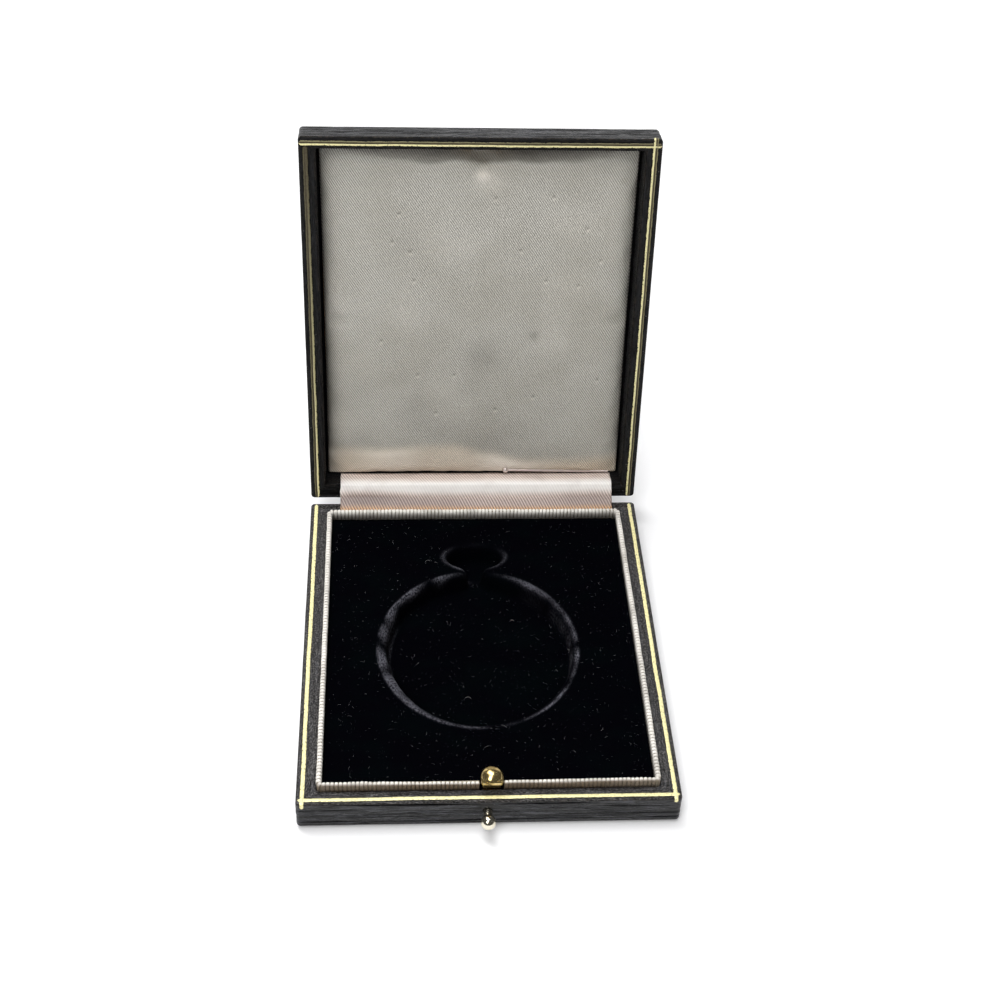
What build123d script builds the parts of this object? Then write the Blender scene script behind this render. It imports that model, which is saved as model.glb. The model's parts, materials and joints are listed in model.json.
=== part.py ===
from build123d import *
import os
from math import cos, radians, sin

# Pocket watch display box, in millimetres, +Z up.
# The base lies on z = 0, its centre is x = y = 0, and its front faces -Y.
# The lid's pieces are drawn with the box shut and then swung open to the stop.

# Overall sizes
box_width = 92.0
box_depth = 106.0
base_height = 9.0
lid_height = 9.0
open_angle = 100.0
rim_gap = 0.15
corner_round = 1.0
base_edge_round = 1.2
lid_edge_round = 1.7

# Thicknesses of the sheet materials
leather = 0.6
inner_leather = 0.4
paper = 0.3
floor_board = 0.7
lid_board = 1.2
pad_card = 0.6
lip_card = 0.7
ribbed_ribbon = 0.3
velvet = 0.4
satin = 0.3
hinge_satin = 0.3
gilt = 0.08

# Rim of the base, from its outer edge to the lip, and the lip
rim_side = 4.8
rim_front = 3.8
rim_back = 5.0
turn_in = 9.0
lip_rise = 2.4
lip_corner = 1.4
lip_clearance = 0.6
bed_drop = 0.6

# Gilt lines: width, and distance of the middle from the rim's outer edge
base_line_width = 1.0
base_line_inset = 1.5
lid_line_width = 0.38
lid_line_inset = 1.35
lid_line_pitch = 0.85
line_end_inset = 0.45

# Wells in the velvet bed
well_radius = 27.0
well_x = -0.7
well_y = -2.3
well_floor = 2.6
bow_half_width = 9.1
bow_half_depth = 5.6
bow_offset = 34.2
neck_width = 8.0
well_corner = 1.2
well_edge_round = 1.0

# Push button and its bush
button_x = -0.5
button_z = 5.8
neck_radius = 1.05
ball_radius = 1.85
ball_reach = 3.4
bush_wall = 0.5
bush_length = 1.4
collar_radius = 1.5
collar_length = 0.5
tip_radius = 0.8
tip_gap = 0.1
running_clearance = 0.05

# Catch
catch_x = 0.5
catch_sheet = 0.8
catch_width = 4.2
catch_pivot_z = 2.5
barrel_radius = 0.6
pivot_radius = 0.35
pivot_clearance = 0.03
catch_gap = 0.25
hook_z = 12.0
hook_sheet = 0.8
hook_half_width = 2.65
hook_corner = 0.8
hook_reach = 1.2
dome_height = 1.5
slot_half_width = 3.0
pocket_depth = 3.1

# Catch's bracket, return spring and rivets
bracket_sheet = 0.25
ear_sheet = 0.5
ear_gap = 0.2
spring_sheet = 0.2
spring_width = 2.6
spring_rise = 5.4
spring_gap = 0.1
rivet_radius = 0.3
rivet_head_radius = 0.5
rivet_head = 0.2

# Keeper in the lid's front wall
keeper_drop = 0.2
keeper_slot_height = 1.7
keeper_sheet = 0.4
keeper_margin = 1.3
keeper_ear = 2.4
keeper_pocket = 1.4
keeper_nail_radius = 0.35
keeper_nail_length = 1.6

# Stop hinges and their nails
hinge_x = 24.0
hinge_width = 13.0
hinge_reach = 1.0
leaf_sheet = 0.7
leaf_depth = 3.4
knuckle_radius = 0.9
hinge_pin_radius = 0.4
hinge_clearance = 0.04
knuckle_gap = 0.1
lug_angle = 45.0
lug_reach = 2.2
lug_sheet = 0.6
lug_gap = 0.03
nail_radius = 0.35
nail_head_radius = 0.65
nail_head = 0.2
nail_length = 2.6
nail_pitch = 7.0

# Lid pad
pad_gap_side = 0.9
pad_gap_front = 1.0
pad_gap_back = 0.7
pad_edge = 1.1
pad_crown = 3.1
pad_draw_in = 0.5
pad_roll = 4.5
dent_radius = 7.0
dent_clearance = 0.5

# Hinge ribbon
ribbon_gap_left = 4.1
ribbon_gap_right = 2.5
ribbon_slack = 1.1
ribbon_tuck = 1.2
ribbon_bend = 1.4
ribbon_lift = 0.1
ribbon_edge_radius = 0.45

# Lining pin
pin_radius = 0.35
pin_head_radius = 0.85
pin_length = 29.5
pin_tip_gap = 3.1
pin_slant = 0.8
pin_drop = 0.45

# Worked-out places
half_width = box_width / 2
half_depth = box_depth / 2
board_bottom = paper + leather
floor_top = board_bottom + floor_board
rail_top = base_height - leather
tray_x = half_width - rim_side
tray_front = -half_depth + rim_front
tray_back = half_depth - rim_back
lip_wall = lip_card + 2 * ribbed_ribbon
lip_top = base_height + lip_rise
bed_x = tray_x - lip_wall
bed_front = tray_front + lip_wall
bed_back = tray_back - lip_wall
bed_top = base_height - bed_drop
pocket_back = bed_front + pocket_depth
lid_rim = base_height + rim_gap
lid_top = lid_rim + lid_height
wall_x = tray_x + lip_clearance
wall_front = tray_front - lip_clearance
wall_back = tray_back + lip_clearance
board_z = lid_top - leather - lid_board
pad_z = board_z - pad_card
pad_x = wall_x - pad_gap_side
pad_front = wall_front + pad_gap_front
pad_back = wall_back - pad_gap_back
hinge_y = half_depth + hinge_reach
hinge_z = base_height + rim_gap / 2
hinge_line = Axis((0, hinge_y, hinge_z), (1, 0, 0))
catch_front = tray_front + catch_gap
catch_back = catch_front + catch_sheet
catch_y = catch_front + barrel_radius
hook_nose = tray_front - hook_reach
dome_y = hook_nose + hook_half_width
dome_z = hook_z + hook_sheet
bush_radius = neck_radius + running_clearance + bush_wall
bush_front = -half_depth + leather
bush_back = bush_front + bush_length
plate_front = catch_y + barrel_radius + 2 * spring_gap
plate_back = pocket_back - running_clearance
plate_top = floor_top + bracket_sheet


def block(x0, x1, y0, y1, z0, z1):
    """A box between two corners."""
    return Pos((x0 + x1) / 2, (y0 + y1) / 2, (z0 + z1) / 2) * Box(x1 - x0, y1 - y0, z1 - z0)


def rod(radius, start, direction, length):
    """A cylinder from a point along a direction."""
    return Part() + Solid.make_cylinder(radius, length, Plane(origin=start, z_dir=direction))


def prism(points, start_x, width):
    """A solid between two X planes, from corners given as (y, z)."""
    side = Plane(origin=(start_x, 0, 0), x_dir=(0, 1, 0), z_dir=(1, 0, 0))
    return extrude(side * make_face(Polyline(*points, close=True)), width)


def case_shell(inset, z0, z1, edge, low):
    """The case's outline drawn in by an inset, with its low or its high face rounded."""
    body = block(-half_width + inset, half_width - inset, -half_depth + inset, half_depth - inset, z0, z1)
    body = fillet(body.edges().filter_by(Axis.Z), corner_round - inset)
    return fillet(body.edges().group_by(Axis.Z)[0 if low else -1], edge - inset)


def rounded_column(x, front, back, z0, z1, corner):
    """A block with rounded upright corners."""
    return fillet(block(-x, x, front, back, z0, z1).edges().filter_by(Axis.Z), max(corner, 0.1))


def crossing_lines(inset, width, z0, z1):
    """A line along the rim's front and one along each side, crossing at the front corners."""
    end_x = half_width - line_end_inset
    end_y = half_depth - line_end_inset
    front_y = inset - half_depth
    lines = block(-end_x, end_x, front_y - width / 2, front_y + width / 2, z0, z1)
    for side in (-1, 1):
        x = side * (half_width - inset)
        lines += block(x - width / 2, x + width / 2, -end_y, end_y, z0, z1)
    return lines


def quarters(walls, name, front, back, z0, z1):
    """Cut a ring of walls into four rails with butted corners."""
    return {
        name + "_front": walls & block(-half_width, half_width, -half_depth, front, z0, z1),
        name + "_back": walls & block(-half_width, half_width, back, half_depth, z0, z1),
        name + "_left": walls & block(-half_width, 0, front, back, z0, z1),
        name + "_right": walls & block(0, half_width, front, back, z0, z1),
    }


def swung_open(shape):
    """A piece of the shut lid, at its stop."""
    return shape.rotate(hinge_line, -open_angle)


def lid_point(y, z):
    """Where a point of the shut lid is at the stop, as (y, z)."""
    turn = radians(open_angle)
    dy = y - hinge_y
    dz = z - hinge_z
    return hinge_y + dy * cos(turn) + dz * sin(turn), hinge_z - dy * sin(turn) + dz * cos(turn)


# Hinges
def leaf_plate(centre_x, z0, z1):
    """The flat part of a leaf, as large as its mortise."""
    half = hinge_width / 2
    return block(centre_x - half, centre_x + half, half_depth - leaf_depth, half_depth, z0, z1)


def nail_pair(centre_x, face_z, way):
    """Two flat-headed nails through a leaf, driven up or down."""
    pair = Part()
    for side in (-1, 1):
        start = (centre_x + side * nail_pitch / 2, half_depth - leaf_depth / 2, face_z)
        pair += rod(nail_radius, start, (0, 0, way), nail_length)
        pair += rod(nail_head_radius, start, (0, 0, way), nail_head)
    return pair


def barrel(centre_x, half, radius):
    """A cylinder on the hinge line."""
    return rod(radius, (centre_x - half, hinge_y, hinge_z), (1, 0, 0), 2 * half)


def lug(centre_x, half, inner, low, high):
    """A stop lug that stands off the knuckle, where the two lugs meet at the stop."""
    bar = block(
        centre_x - half, centre_x + half, hinge_y + inner, hinge_y + lug_reach, hinge_z + low, hinge_z + high
    )
    return bar.rotate(hinge_line, -lug_angle)


def base_leaf(centre_x):
    """The base's leaf, with its two outer knuckles and their lugs."""
    half = hinge_width / 2
    knuckles = barrel(centre_x, half, knuckle_radius)
    knuckles += block(
        centre_x - half, centre_x + half, half_depth, hinge_y, base_height - leaf_sheet, base_height
    )
    knuckles += lug(centre_x, half, hinge_pin_radius, -lug_sheet, 0)
    reach = 2 * lug_reach
    knuckles -= block(
        centre_x - hinge_width / 6, centre_x + hinge_width / 6, half_depth, hinge_y + reach,
        hinge_z - reach, hinge_z + reach,
    )
    plate = leaf_plate(centre_x, base_height - leaf_sheet, base_height)
    return plate + knuckles - barrel(centre_x, half, hinge_pin_radius)


def lid_leaf(centre_x):
    """The lid's leaf, with its middle knuckle and the bar that stops it."""
    half = hinge_width / 6 - knuckle_gap
    leaf = leaf_plate(centre_x, lid_rim, lid_rim + leaf_sheet)
    leaf += barrel(centre_x, half, knuckle_radius)
    leaf += block(centre_x - half, centre_x + half, half_depth, hinge_y, lid_rim, lid_rim + leaf_sheet)
    stop = lug(centre_x, half, hinge_pin_radius, lug_gap, lug_sheet)
    stop += lug(centre_x, hinge_width / 2 - 1, knuckle_radius + 2 * knuckle_gap, lug_gap, lug_sheet)
    leaf += stop.rotate(hinge_line, open_angle)
    return leaf - barrel(centre_x, hinge_width, hinge_pin_radius + hinge_clearance)


# Bed
def bed(top, grow):
    """The bed up to a height, with its wells larger all round by grow and their edges rounded."""
    centre = Pos(well_x, well_y)
    outline = centre * Circle(well_radius + grow)
    outline += centre * Pos(0, bow_offset) * Ellipse(bow_half_width + grow, bow_half_depth + grow)
    outline += centre * Pos(0, bow_offset / 2) * Rectangle(neck_width + 2 * grow, bow_offset)
    horns = [v for v in outline.vertices() if abs(v.X - well_x) < bow_half_width - grow and v.Y > well_y]
    outline = fillet(horns, well_corner - grow)
    body = rounded_column(bed_x, bed_front, bed_back, floor_top, top, lip_corner - lip_wall)
    body -= extrude(Pos(0, 0, well_floor - grow) * outline, top)
    edges = body.edges().group_by(Axis.Z)[-1]
    edges = [e for e in edges if abs(e.center().X) < bed_x - 1 and bed_front + 1 < e.center().Y < bed_back - 1]
    body = fillet(edges, well_edge_round - grow)
    return body - block(
        catch_x - slot_half_width, catch_x + slot_half_width, bed_front - 1, pocket_back, floor_top, top + 1
    )


# Catch
def catch_hook():
    """Lever with a barrel at its foot, a hook plate on top and a domed head."""
    left = catch_x - catch_width / 2
    lever = rod(barrel_radius, (left, catch_y, catch_pivot_z), (1, 0, 0), catch_width)
    lever += block(left, left + catch_width, catch_front, catch_back, catch_pivot_z, dome_z - hook_sheet / 2)
    lever -= rod(pivot_radius + pivot_clearance, (left - 1, catch_y, catch_pivot_z), (1, 0, 0), catch_width + 2)
    half = hook_half_width
    plate = block(catch_x - half, catch_x + half, hook_nose, dome_y, hook_z, dome_z)
    nose = plate.edges().filter_by(Axis.Z).group_by(Axis.Y)[0]
    plate = fillet(nose, hook_corner)
    plate += rod(half, (catch_x, dome_y, hook_z), (0, 0, 1), hook_sheet)
    sphere_radius = (half**2 + dome_height**2) / (2 * dome_height)
    dome = Pos(catch_x, dome_y, dome_z + dome_height - sphere_radius) * Sphere(sphere_radius)
    dome &= rod(half, (catch_x, dome_y, dome_z - hook_sheet / 2), (0, 0, 1), 2 * dome_height)
    return lever + plate + dome


def catch_bracket():
    """Plate on the floor board with two ears that hold the pivot pin."""
    ear = catch_width / 2 + ear_gap
    bracket = block(catch_x - ear - ear_sheet, catch_x + ear + ear_sheet, plate_front, plate_back,
                    floor_top, plate_top)
    for start in (catch_x - ear - ear_sheet, catch_x + ear):
        bracket += block(start, start + ear_sheet, catch_front, plate_front + 1, floor_top,
                         catch_pivot_z + 2 * pivot_radius)
    return bracket


def catch_spring():
    """Leaf spring: a riveted foot, a bend at the back and a blade that leans on the lever."""
    back = plate_back - running_clearance
    touch = catch_back + spring_gap
    bend = plate_top + 2 * spring_sheet
    tip = plate_top + spring_rise
    outline = (
        (plate_front, plate_top), (back, plate_top), (back, bend), (touch + spring_sheet, tip), (touch, tip),
        (back - spring_sheet, bend), (back - spring_sheet, plate_top + spring_sheet),
        (plate_front, plate_top + spring_sheet),
    )
    return prism(outline, catch_x - spring_width / 2, spring_width)


def catch_rivets():
    """Two rivets through the spring's foot, the bracket and the floor board."""
    rivets = Part()
    for side in (-1, 1):
        start = (catch_x + side * spring_width / 4, (plate_front + plate_back) / 2 - rivet_radius, board_bottom)
        shank = plate_top + spring_sheet - board_bottom
        rivets += rod(rivet_radius, start, (0, 0, 1), shank)
        rivets += rod(rivet_head_radius, Vector(*start) + (0, 0, shank), (0, 0, 1), rivet_head)
    return rivets


def push_button():
    """Ball end, neck, collar behind the bush and a round tip that meets the lever."""
    inward = (0, 1, 0)
    ball_y = -half_depth - ball_reach
    collar_y = bush_back + running_clearance
    tip_y = catch_front - tip_gap - tip_radius
    button = Pos(button_x, ball_y, button_z) * Sphere(ball_radius)
    button += rod(neck_radius, (button_x, ball_y, button_z), inward, collar_y - ball_y)
    button += rod(collar_radius, (button_x, collar_y, button_z), inward, collar_length)
    button += rod(tip_radius, (button_x, collar_y, button_z), inward, tip_y - collar_y)
    return button + Pos(button_x, tip_y, button_z) * Sphere(tip_radius)


# Lid pad
def pad_section(y, height, half):
    """The pad's cross-section, hanging from the card: a crown between two rolled sides."""
    side = 0.3 * height
    roll = 0.86 * height
    outline = Polyline((-half, -side), (-half, 0), (half, 0), (half, -side)).edges()
    for way in (-1, 1):
        outline += [ThreePointArc(
            (way * half, -side), (way * (half - 0.28 * pad_roll), -0.72 * height),
            (way * (half - pad_roll), -roll),
        )]
    outline += [ThreePointArc((-half + pad_roll, -roll), (0, -height), (half - pad_roll, -roll))]
    return Plane(origin=(0, y, pad_z), x_dir=(1, 0, 0), z_dir=(0, -1, 0)) * make_face(outline)


def cushion(inset):
    """The crowned pad, with sides drawn in between its corners, smaller all round by an inset."""
    front = pad_front + inset
    back = pad_back - inset
    # How far in from an end, and how much of the crown is reached there
    rise = ((0.0, 0.0), (1.6, 0.42), (5.0, 0.78), (18.0, 0.96))
    stations = [(front + away, share) for away, share in rise]
    stations.append(((front + back) / 2, 1.0))
    stations += [(back - away, share) for away, share in reversed(rise)]
    sections = []
    for y, share in stations:
        along = (y - front) / (back - front)
        height = pad_edge + (pad_crown - pad_edge) * share - inset
        sections.append(pad_section(y, height, pad_x - inset - 4 * pad_draw_in * along * (1 - along)))
    dent_z = dome_z + dome_height + dent_clearance - dent_radius
    return loft(sections) - Pos(catch_x, dome_y, dent_z) * Sphere(dent_radius + inset)


# Hinge ribbon
def hinge_ribbon():
    """Satin strip from under the pad, over the lid's rim and down behind the lip."""
    lift = hinge_satin / 2 + ribbon_lift
    under_pad = lid_point(wall_back - lift, pad_z - pad_edge)
    over_edge = lid_point(wall_back - lift, lid_rim - lift)
    lid_foot = lid_point(half_depth, lid_rim)
    line = FilletPolyline(
        under_pad,
        over_edge,
        (lid_foot[0] - ribbon_slack, lid_foot[1] + ribbon_slack),
        (tray_back + ribbon_tuck, base_height + lift),
        (tray_back + lift, base_height + lift),
        radius=(ribbon_edge_radius, ribbon_bend, ribbon_edge_radius),
    )
    side = Plane(origin=(ribbon_gap_left - wall_x, 0, 0), x_dir=(0, 1, 0), z_dir=(1, 0, 0))
    return extrude(side * trace(line, hinge_satin), 2 * wall_x - ribbon_gap_left - ribbon_gap_right)


# Lining pin
def lining_pin():
    """Dressmaker's pin that lies in the seam between the pad and the hinge ribbon."""
    seam_y = wall_back - hinge_satin - 2 * pin_radius
    seam_z = pad_z - pad_edge - pin_radius
    start = Vector(wall_x - pin_tip_gap - pin_length, seam_y - pin_slant, seam_z - pin_drop)
    way = Vector(pin_length, pin_slant, pin_drop)
    pin = rod(pin_radius, start, way, pin_length)
    return pin + Pos(start) * Sphere(pin_head_radius)


parts = {}

# Hinges first, because every layer of the rims is cut for them
base_cut = Part()
lid_cut = Part()
base_nails = Part()
lid_nails = Part()
for side_name, centre in (("left", -hinge_x), ("right", hinge_x)):
    low_nails = nail_pair(centre, base_height, -1)
    high_nails = nail_pair(centre, lid_rim, 1)
    parts["hinge_leaf_base_" + side_name] = base_leaf(centre) - low_nails
    parts["hinge_leaf_lid_" + side_name] = swung_open(lid_leaf(centre) - high_nails)
    parts["hinge_pin_" + side_name] = barrel(centre, hinge_width / 2, hinge_pin_radius)
    base_cut += leaf_plate(centre, base_height - leaf_sheet, base_height) + low_nails
    lid_cut += leaf_plate(centre, lid_rim, lid_rim + leaf_sheet) + high_nails
    base_nails += low_nails
    lid_nails += high_nails
parts["hinge_nails_base"] = base_nails
parts["hinge_nails_lid"] = swung_open(lid_nails)

# Base: the wood core, the tray in it and the leather's turned-in margin
core = case_shell(leather, board_bottom, rail_top, base_edge_round, True)
tray = rounded_column(tray_x, tray_front, tray_back, floor_top, lip_top, lip_corner)
turned_x = half_width - turn_in
turned_y = half_depth - turn_in
step = block(-turned_x, turned_x, -turned_y, turned_y, paper, board_bottom)
above_board = block(-half_width, half_width, -half_depth, half_depth, floor_top, base_height)
sheet_x = half_width - base_edge_round - leather
sheet_y = half_depth - base_edge_round - leather
parts["base_underside_sheet"] = block(-sheet_x, sheet_x, -sheet_y, sheet_y, 0, paper)
rivets = catch_rivets()
parts["base_floor_board"] = (core - above_board) + step - rivets
bush_hole = rod(neck_radius + running_clearance, (button_x, -half_depth - 1, button_z), (0, 1, 0),
                1 + leather + bush_length)
bush_body = rod(bush_radius, (button_x, bush_front, button_z), (0, 1, 0), bush_length)
collar_well = rod(bush_radius, (button_x, bush_back, button_z), (0, 1, 0), tray_front - bush_back + 1)
rails = (core & above_board) - tray - base_cut - bush_body - collar_well
parts.update(quarters(rails, "base_rail", tray_front, tray_back, floor_top, base_height))
lines = crossing_lines(base_line_inset, base_line_width, base_height - gilt, base_height) - base_cut
skin = case_shell(0, paper, base_height, base_edge_round, True)
parts["base_leather_cover"] = skin - core - tray - step - lines - base_cut - bush_hole
parts["base_gilt_line"] = lines
parts["button_bush"] = bush_body - bush_hole
parts["push_button"] = push_button()

# Lip, with a slot for the catch
slot = block(catch_x - slot_half_width, catch_x + slot_half_width, tray_front - 1, bed_front + 1,
             floor_top, lip_top + 1)
lip_hole = rounded_column(bed_x, bed_front, bed_back, floor_top, lip_top, lip_corner - lip_wall)
card_hole = rounded_column(bed_x + ribbed_ribbon, bed_front - ribbed_ribbon, bed_back + ribbed_ribbon,
                           floor_top, lip_top, lip_corner - lip_wall + ribbed_ribbon)
card = rounded_column(tray_x - ribbed_ribbon, tray_front + ribbed_ribbon, tray_back - ribbed_ribbon,
                      floor_top, lip_top - ribbed_ribbon, lip_corner - ribbed_ribbon) - card_hole
parts["lip_card"] = card - slot
parts["lip_ribbed_trim"] = tray - lip_hole - card - slot

# Bed and its velvet
bed_block = bed(bed_top - velvet, velvet)
parts["bed_block"] = bed_block
parts["velvet_lining"] = bed(bed_top, 0) - bed_block

# Catch
pivot_start = (catch_x - catch_width / 2 - ear_gap - ear_sheet, catch_y, catch_pivot_z)
pivot = rod(pivot_radius, pivot_start, (1, 0, 0), catch_width + 2 * ear_gap + 2 * ear_sheet)
parts["catch_pivot_pin"] = pivot
parts["catch_hook"] = catch_hook()
parts["catch_bracket"] = catch_bracket() - pivot - rivets
parts["catch_return_spring"] = catch_spring() - rivets
parts["catch_rivets"] = rivets

# Lid: the wood core, the hollow under its board and the leather over all of it
lid_core = case_shell(leather, lid_rim + leather, lid_top - leather, lid_edge_round, False)
lid_skin = case_shell(0, lid_rim, lid_top, lid_edge_round, False)
hollow = block(-wall_x, wall_x, wall_front, wall_back, lid_rim, board_z)
wood_hollow = block(-wall_x - inner_leather, wall_x + inner_leather, wall_front - inner_leather,
                    wall_back + inner_leather, lid_rim, board_z)
below_board = block(-half_width, half_width, -half_depth, half_depth, lid_rim, board_z)
keeper_z = hook_z - keeper_drop
keeper_half = slot_half_width + keeper_ear
keeper_slot = block(catch_x - slot_half_width, catch_x + slot_half_width, wall_front - keeper_pocket,
                    wall_front, keeper_z, keeper_z + keeper_slot_height)
keeper = block(catch_x - keeper_half, catch_x + keeper_half, wall_front - keeper_sheet, wall_front,
               keeper_z - keeper_margin, keeper_z + keeper_slot_height + keeper_margin)
keeper_nails = Part()
for side in (-1, 1):
    nail_x = catch_x + side * (slot_half_width + keeper_ear / 2)
    nail_start = (nail_x, wall_front, keeper_z + keeper_slot_height / 2)
    keeper_nails += rod(keeper_nail_radius, nail_start, (0, -1, 0), keeper_nail_length)
lid_lines = Part()
for number in range(2):
    inset = lid_line_inset + number * lid_line_pitch
    lid_lines += crossing_lines(inset, lid_line_width, lid_rim, lid_rim + gilt)
lid_lines -= lid_cut
lid_rails = (lid_core & below_board) - wood_hollow - lid_cut - keeper - keeper_slot - keeper_nails
lid_leather = lid_skin - (lid_core - wood_hollow) - hollow - lid_lines - lid_cut - keeper - keeper_slot
wood = quarters(lid_rails, "lid_rail", wall_front - inner_leather, wall_back + inner_leather, lid_rim, board_z)
for name, rail in wood.items():
    parts[name] = swung_open(rail)
parts["lid_top_board"] = swung_open(lid_core - below_board)
parts["lid_leather_cover"] = swung_open(lid_leather)
parts["lid_gilt_lines"] = swung_open(lid_lines)
parts["keeper_plate"] = swung_open(keeper - keeper_slot - keeper_nails)
parts["keeper_nails"] = swung_open(keeper_nails)

# Pad, ribbon and pin
pin = lining_pin()
wadding = cushion(satin)
parts["lid_pad_board"] = swung_open(block(-pad_x, pad_x, pad_front, pad_back, pad_z, board_z))
parts["lid_pad_wadding"] = swung_open(wadding - pin)
parts["lid_satin_lining"] = swung_open(cushion(0) - wadding - pin)
parts["lining_pin"] = swung_open(pin)
parts["hinge_ribbon"] = hinge_ribbon()

os.makedirs("parts", exist_ok=True)
for name, shape in parts.items():
    export_step(shape, f"parts/{name}.step")
print(f"{len(parts)} nodes")
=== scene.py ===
import bpy
import bmesh
import json
import numpy as np
from contextlib import contextmanager
from functools import partial
from math import acos, ceil, cos, exp, pi, radians, sin, tan
from mathutils import Matrix, Vector, noise


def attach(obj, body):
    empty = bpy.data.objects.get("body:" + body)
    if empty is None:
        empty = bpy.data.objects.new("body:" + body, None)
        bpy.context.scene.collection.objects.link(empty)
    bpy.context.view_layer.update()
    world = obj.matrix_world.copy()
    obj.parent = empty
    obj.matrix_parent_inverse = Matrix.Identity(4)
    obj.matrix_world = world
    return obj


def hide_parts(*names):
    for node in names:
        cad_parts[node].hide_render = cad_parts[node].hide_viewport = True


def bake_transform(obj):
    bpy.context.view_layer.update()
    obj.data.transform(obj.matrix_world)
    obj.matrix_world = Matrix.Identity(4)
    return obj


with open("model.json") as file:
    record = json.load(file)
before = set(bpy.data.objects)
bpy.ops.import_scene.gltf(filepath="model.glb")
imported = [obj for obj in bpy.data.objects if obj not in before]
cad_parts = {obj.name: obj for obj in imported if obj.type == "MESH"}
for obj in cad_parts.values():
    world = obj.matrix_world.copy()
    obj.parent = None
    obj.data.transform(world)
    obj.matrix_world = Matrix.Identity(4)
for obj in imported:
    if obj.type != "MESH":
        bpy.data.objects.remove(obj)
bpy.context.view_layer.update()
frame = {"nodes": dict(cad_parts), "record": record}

# Pocket watch display box. Everything is in metres; sizes below are written in millimetres times mm.
mm = 0.001
nodes = frame["nodes"]

box = {
    "halfWidth": 46.0,
    "halfDepth": 53.0,
    "baseTop": 9.0,
    "lidRim": 9.15,
    "lidTop": 18.15,
    "cornerRound": 1.0,
    "baseEdgeRound": 1.2,
    "lidEdgeRound": 1.7,
    "leather": 0.6,
    "hinge": (0.0, 54.0, 9.075),
    "lidAngle": 100.0,
    "tray": (41.2, -49.2, 48.0),
    "trayCorner": 1.4,
    "lidWall": (41.8, -49.8, 48.6),
    "lidBoard": 16.35,
    "padCard": 15.75,
}

hingePoint = Vector(box["hinge"]) * mm
hingeTurn = Matrix.Rotation(radians(-box["lidAngle"]), 4, "X")
openLid = Matrix.Translation(hingePoint) @ hingeTurn @ Matrix.Translation(-hingePoint)


def colour(red, green, blue):
    def linear(value):
        share = value / 255
        return share / 12.92 if share < 0.04045 else ((share + 0.055) / 1.055) ** 2.4
    return (linear(red), linear(green), linear(blue), 1.0)


def palette(**shades):
    return {name: colour(*shade) for name, shade in shades.items()}


# ---- small helpers for meshes

def linkObject(name, data):
    made = bpy.data.objects.new(name, data)
    bpy.context.scene.collection.objects.link(made)
    return made


def smoothShade(mesh):
    mesh.polygons.foreach_set("use_smooth", [True] * len(mesh.polygons))


def readFlat(items, field, width=1):
    flat = np.empty(len(items) * width, np.float32)
    items.foreach_get(field, flat)
    return flat.reshape(-1, width).astype(float)


def readPoints(mesh):
    return readFlat(mesh.vertices, "co", 3)


def readNormals(mesh):
    return readFlat(mesh.vertex_normals, "vector", 3)


def readMark(mesh, label):
    return readFlat(mesh.attributes[label].data, "value")[:, 0]


def writePoints(mesh, points):
    mesh.vertices.foreach_set("co", points.astype(np.float32).ravel())
    mesh.update()


def writeMark(mesh, label, values):
    mark = mesh.attributes.get(label) or mesh.attributes.new(label, "FLOAT", "POINT")
    mark.data.foreach_set("value", values.astype(np.float32).ravel())


def gridMesh(name, points, uv, wrapU=False, wrapV=False, marks=None):
    # points and marks are laid out as rows by columns; uv has one more row or column where it wraps
    rows, cols = points.shape[:2]
    steps = np.arange(rows if wrapV else rows - 1), np.arange(cols if wrapU else cols - 1)
    j, i = np.meshgrid(*steps, indexing="ij")
    nextJ, nextI = (j + 1) % rows, (i + 1) % cols
    faces = np.stack((j * cols + i, j * cols + nextI, nextJ * cols + nextI, nextJ * cols + i), -1)
    mesh = bpy.data.meshes.new(name)
    mesh.from_pydata(points.reshape(-1, 3).tolist(), [], faces.reshape(-1, 4).tolist())
    corners = np.stack((uv[j, i], uv[j, i + 1], uv[j + 1, i + 1], uv[j + 1, i]), 2)
    mesh.uv_layers.new(name="mm").data.foreach_set("uv", corners.astype(np.float32).ravel())
    for label, values in (marks or {}).items():
        writeMark(mesh, label, values)
    return mesh


@contextmanager
def editing(mesh):
    # the mesh as a bmesh, written back at the end
    work = bmesh.new()
    work.from_mesh(mesh)
    yield work
    work.to_mesh(mesh)
    work.free()


def weld(work, distance, tiny=2e-7):
    bmesh.ops.remove_doubles(work, verts=work.verts, dist=distance)
    bmesh.ops.dissolve_degenerate(work, edges=work.edges, dist=tiny)


def closeHoles(mesh):
    with editing(mesh) as work:
        bmesh.ops.holes_fill(work, edges=[edge for edge in work.edges if edge.is_boundary])
        bmesh.ops.recalc_face_normals(work, faces=work.faces)


def noiseAt(points, scale, seed=0.0):
    # one smooth noise value for each point, from about -1 to 1
    moved = points * np.array(scale) + np.array((seed * 7.31, seed * 3.17, seed * 5.83))
    return np.array([noise.noise(spot) for spot in moved.tolist()])


def noiseOn(x, y, scale, seed):
    # the same over a plane, laid out as x is
    flat = np.column_stack((x.ravel(), y.ravel(), np.zeros(x.size)))
    return noiseAt(flat, (*scale, 1.0), seed).reshape(x.shape)


def smoothstep(low, high, value):
    share = np.clip((value - low) / (high - low), 0, 1)
    return share * share * (3 - 2 * share)


def bell(away, reach, power=2):
    return np.exp(-(away / reach) ** power)


def between(first, second, share):
    return tuple(a + (b - a) * share for a, b in zip(first, second))


def distances(points):
    # how far along a line each of its points is
    return np.concatenate(((0.0,), np.cumsum(np.linalg.norm(np.diff(points, axis=0), axis=1))))


def quarterTurn(count):
    # step, sine and cosine at the ends of the equal parts of a quarter turn
    return [(step, sin(pi / 2 * step / count), cos(pi / 2 * step / count)) for step in range(1, count + 1)]


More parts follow.
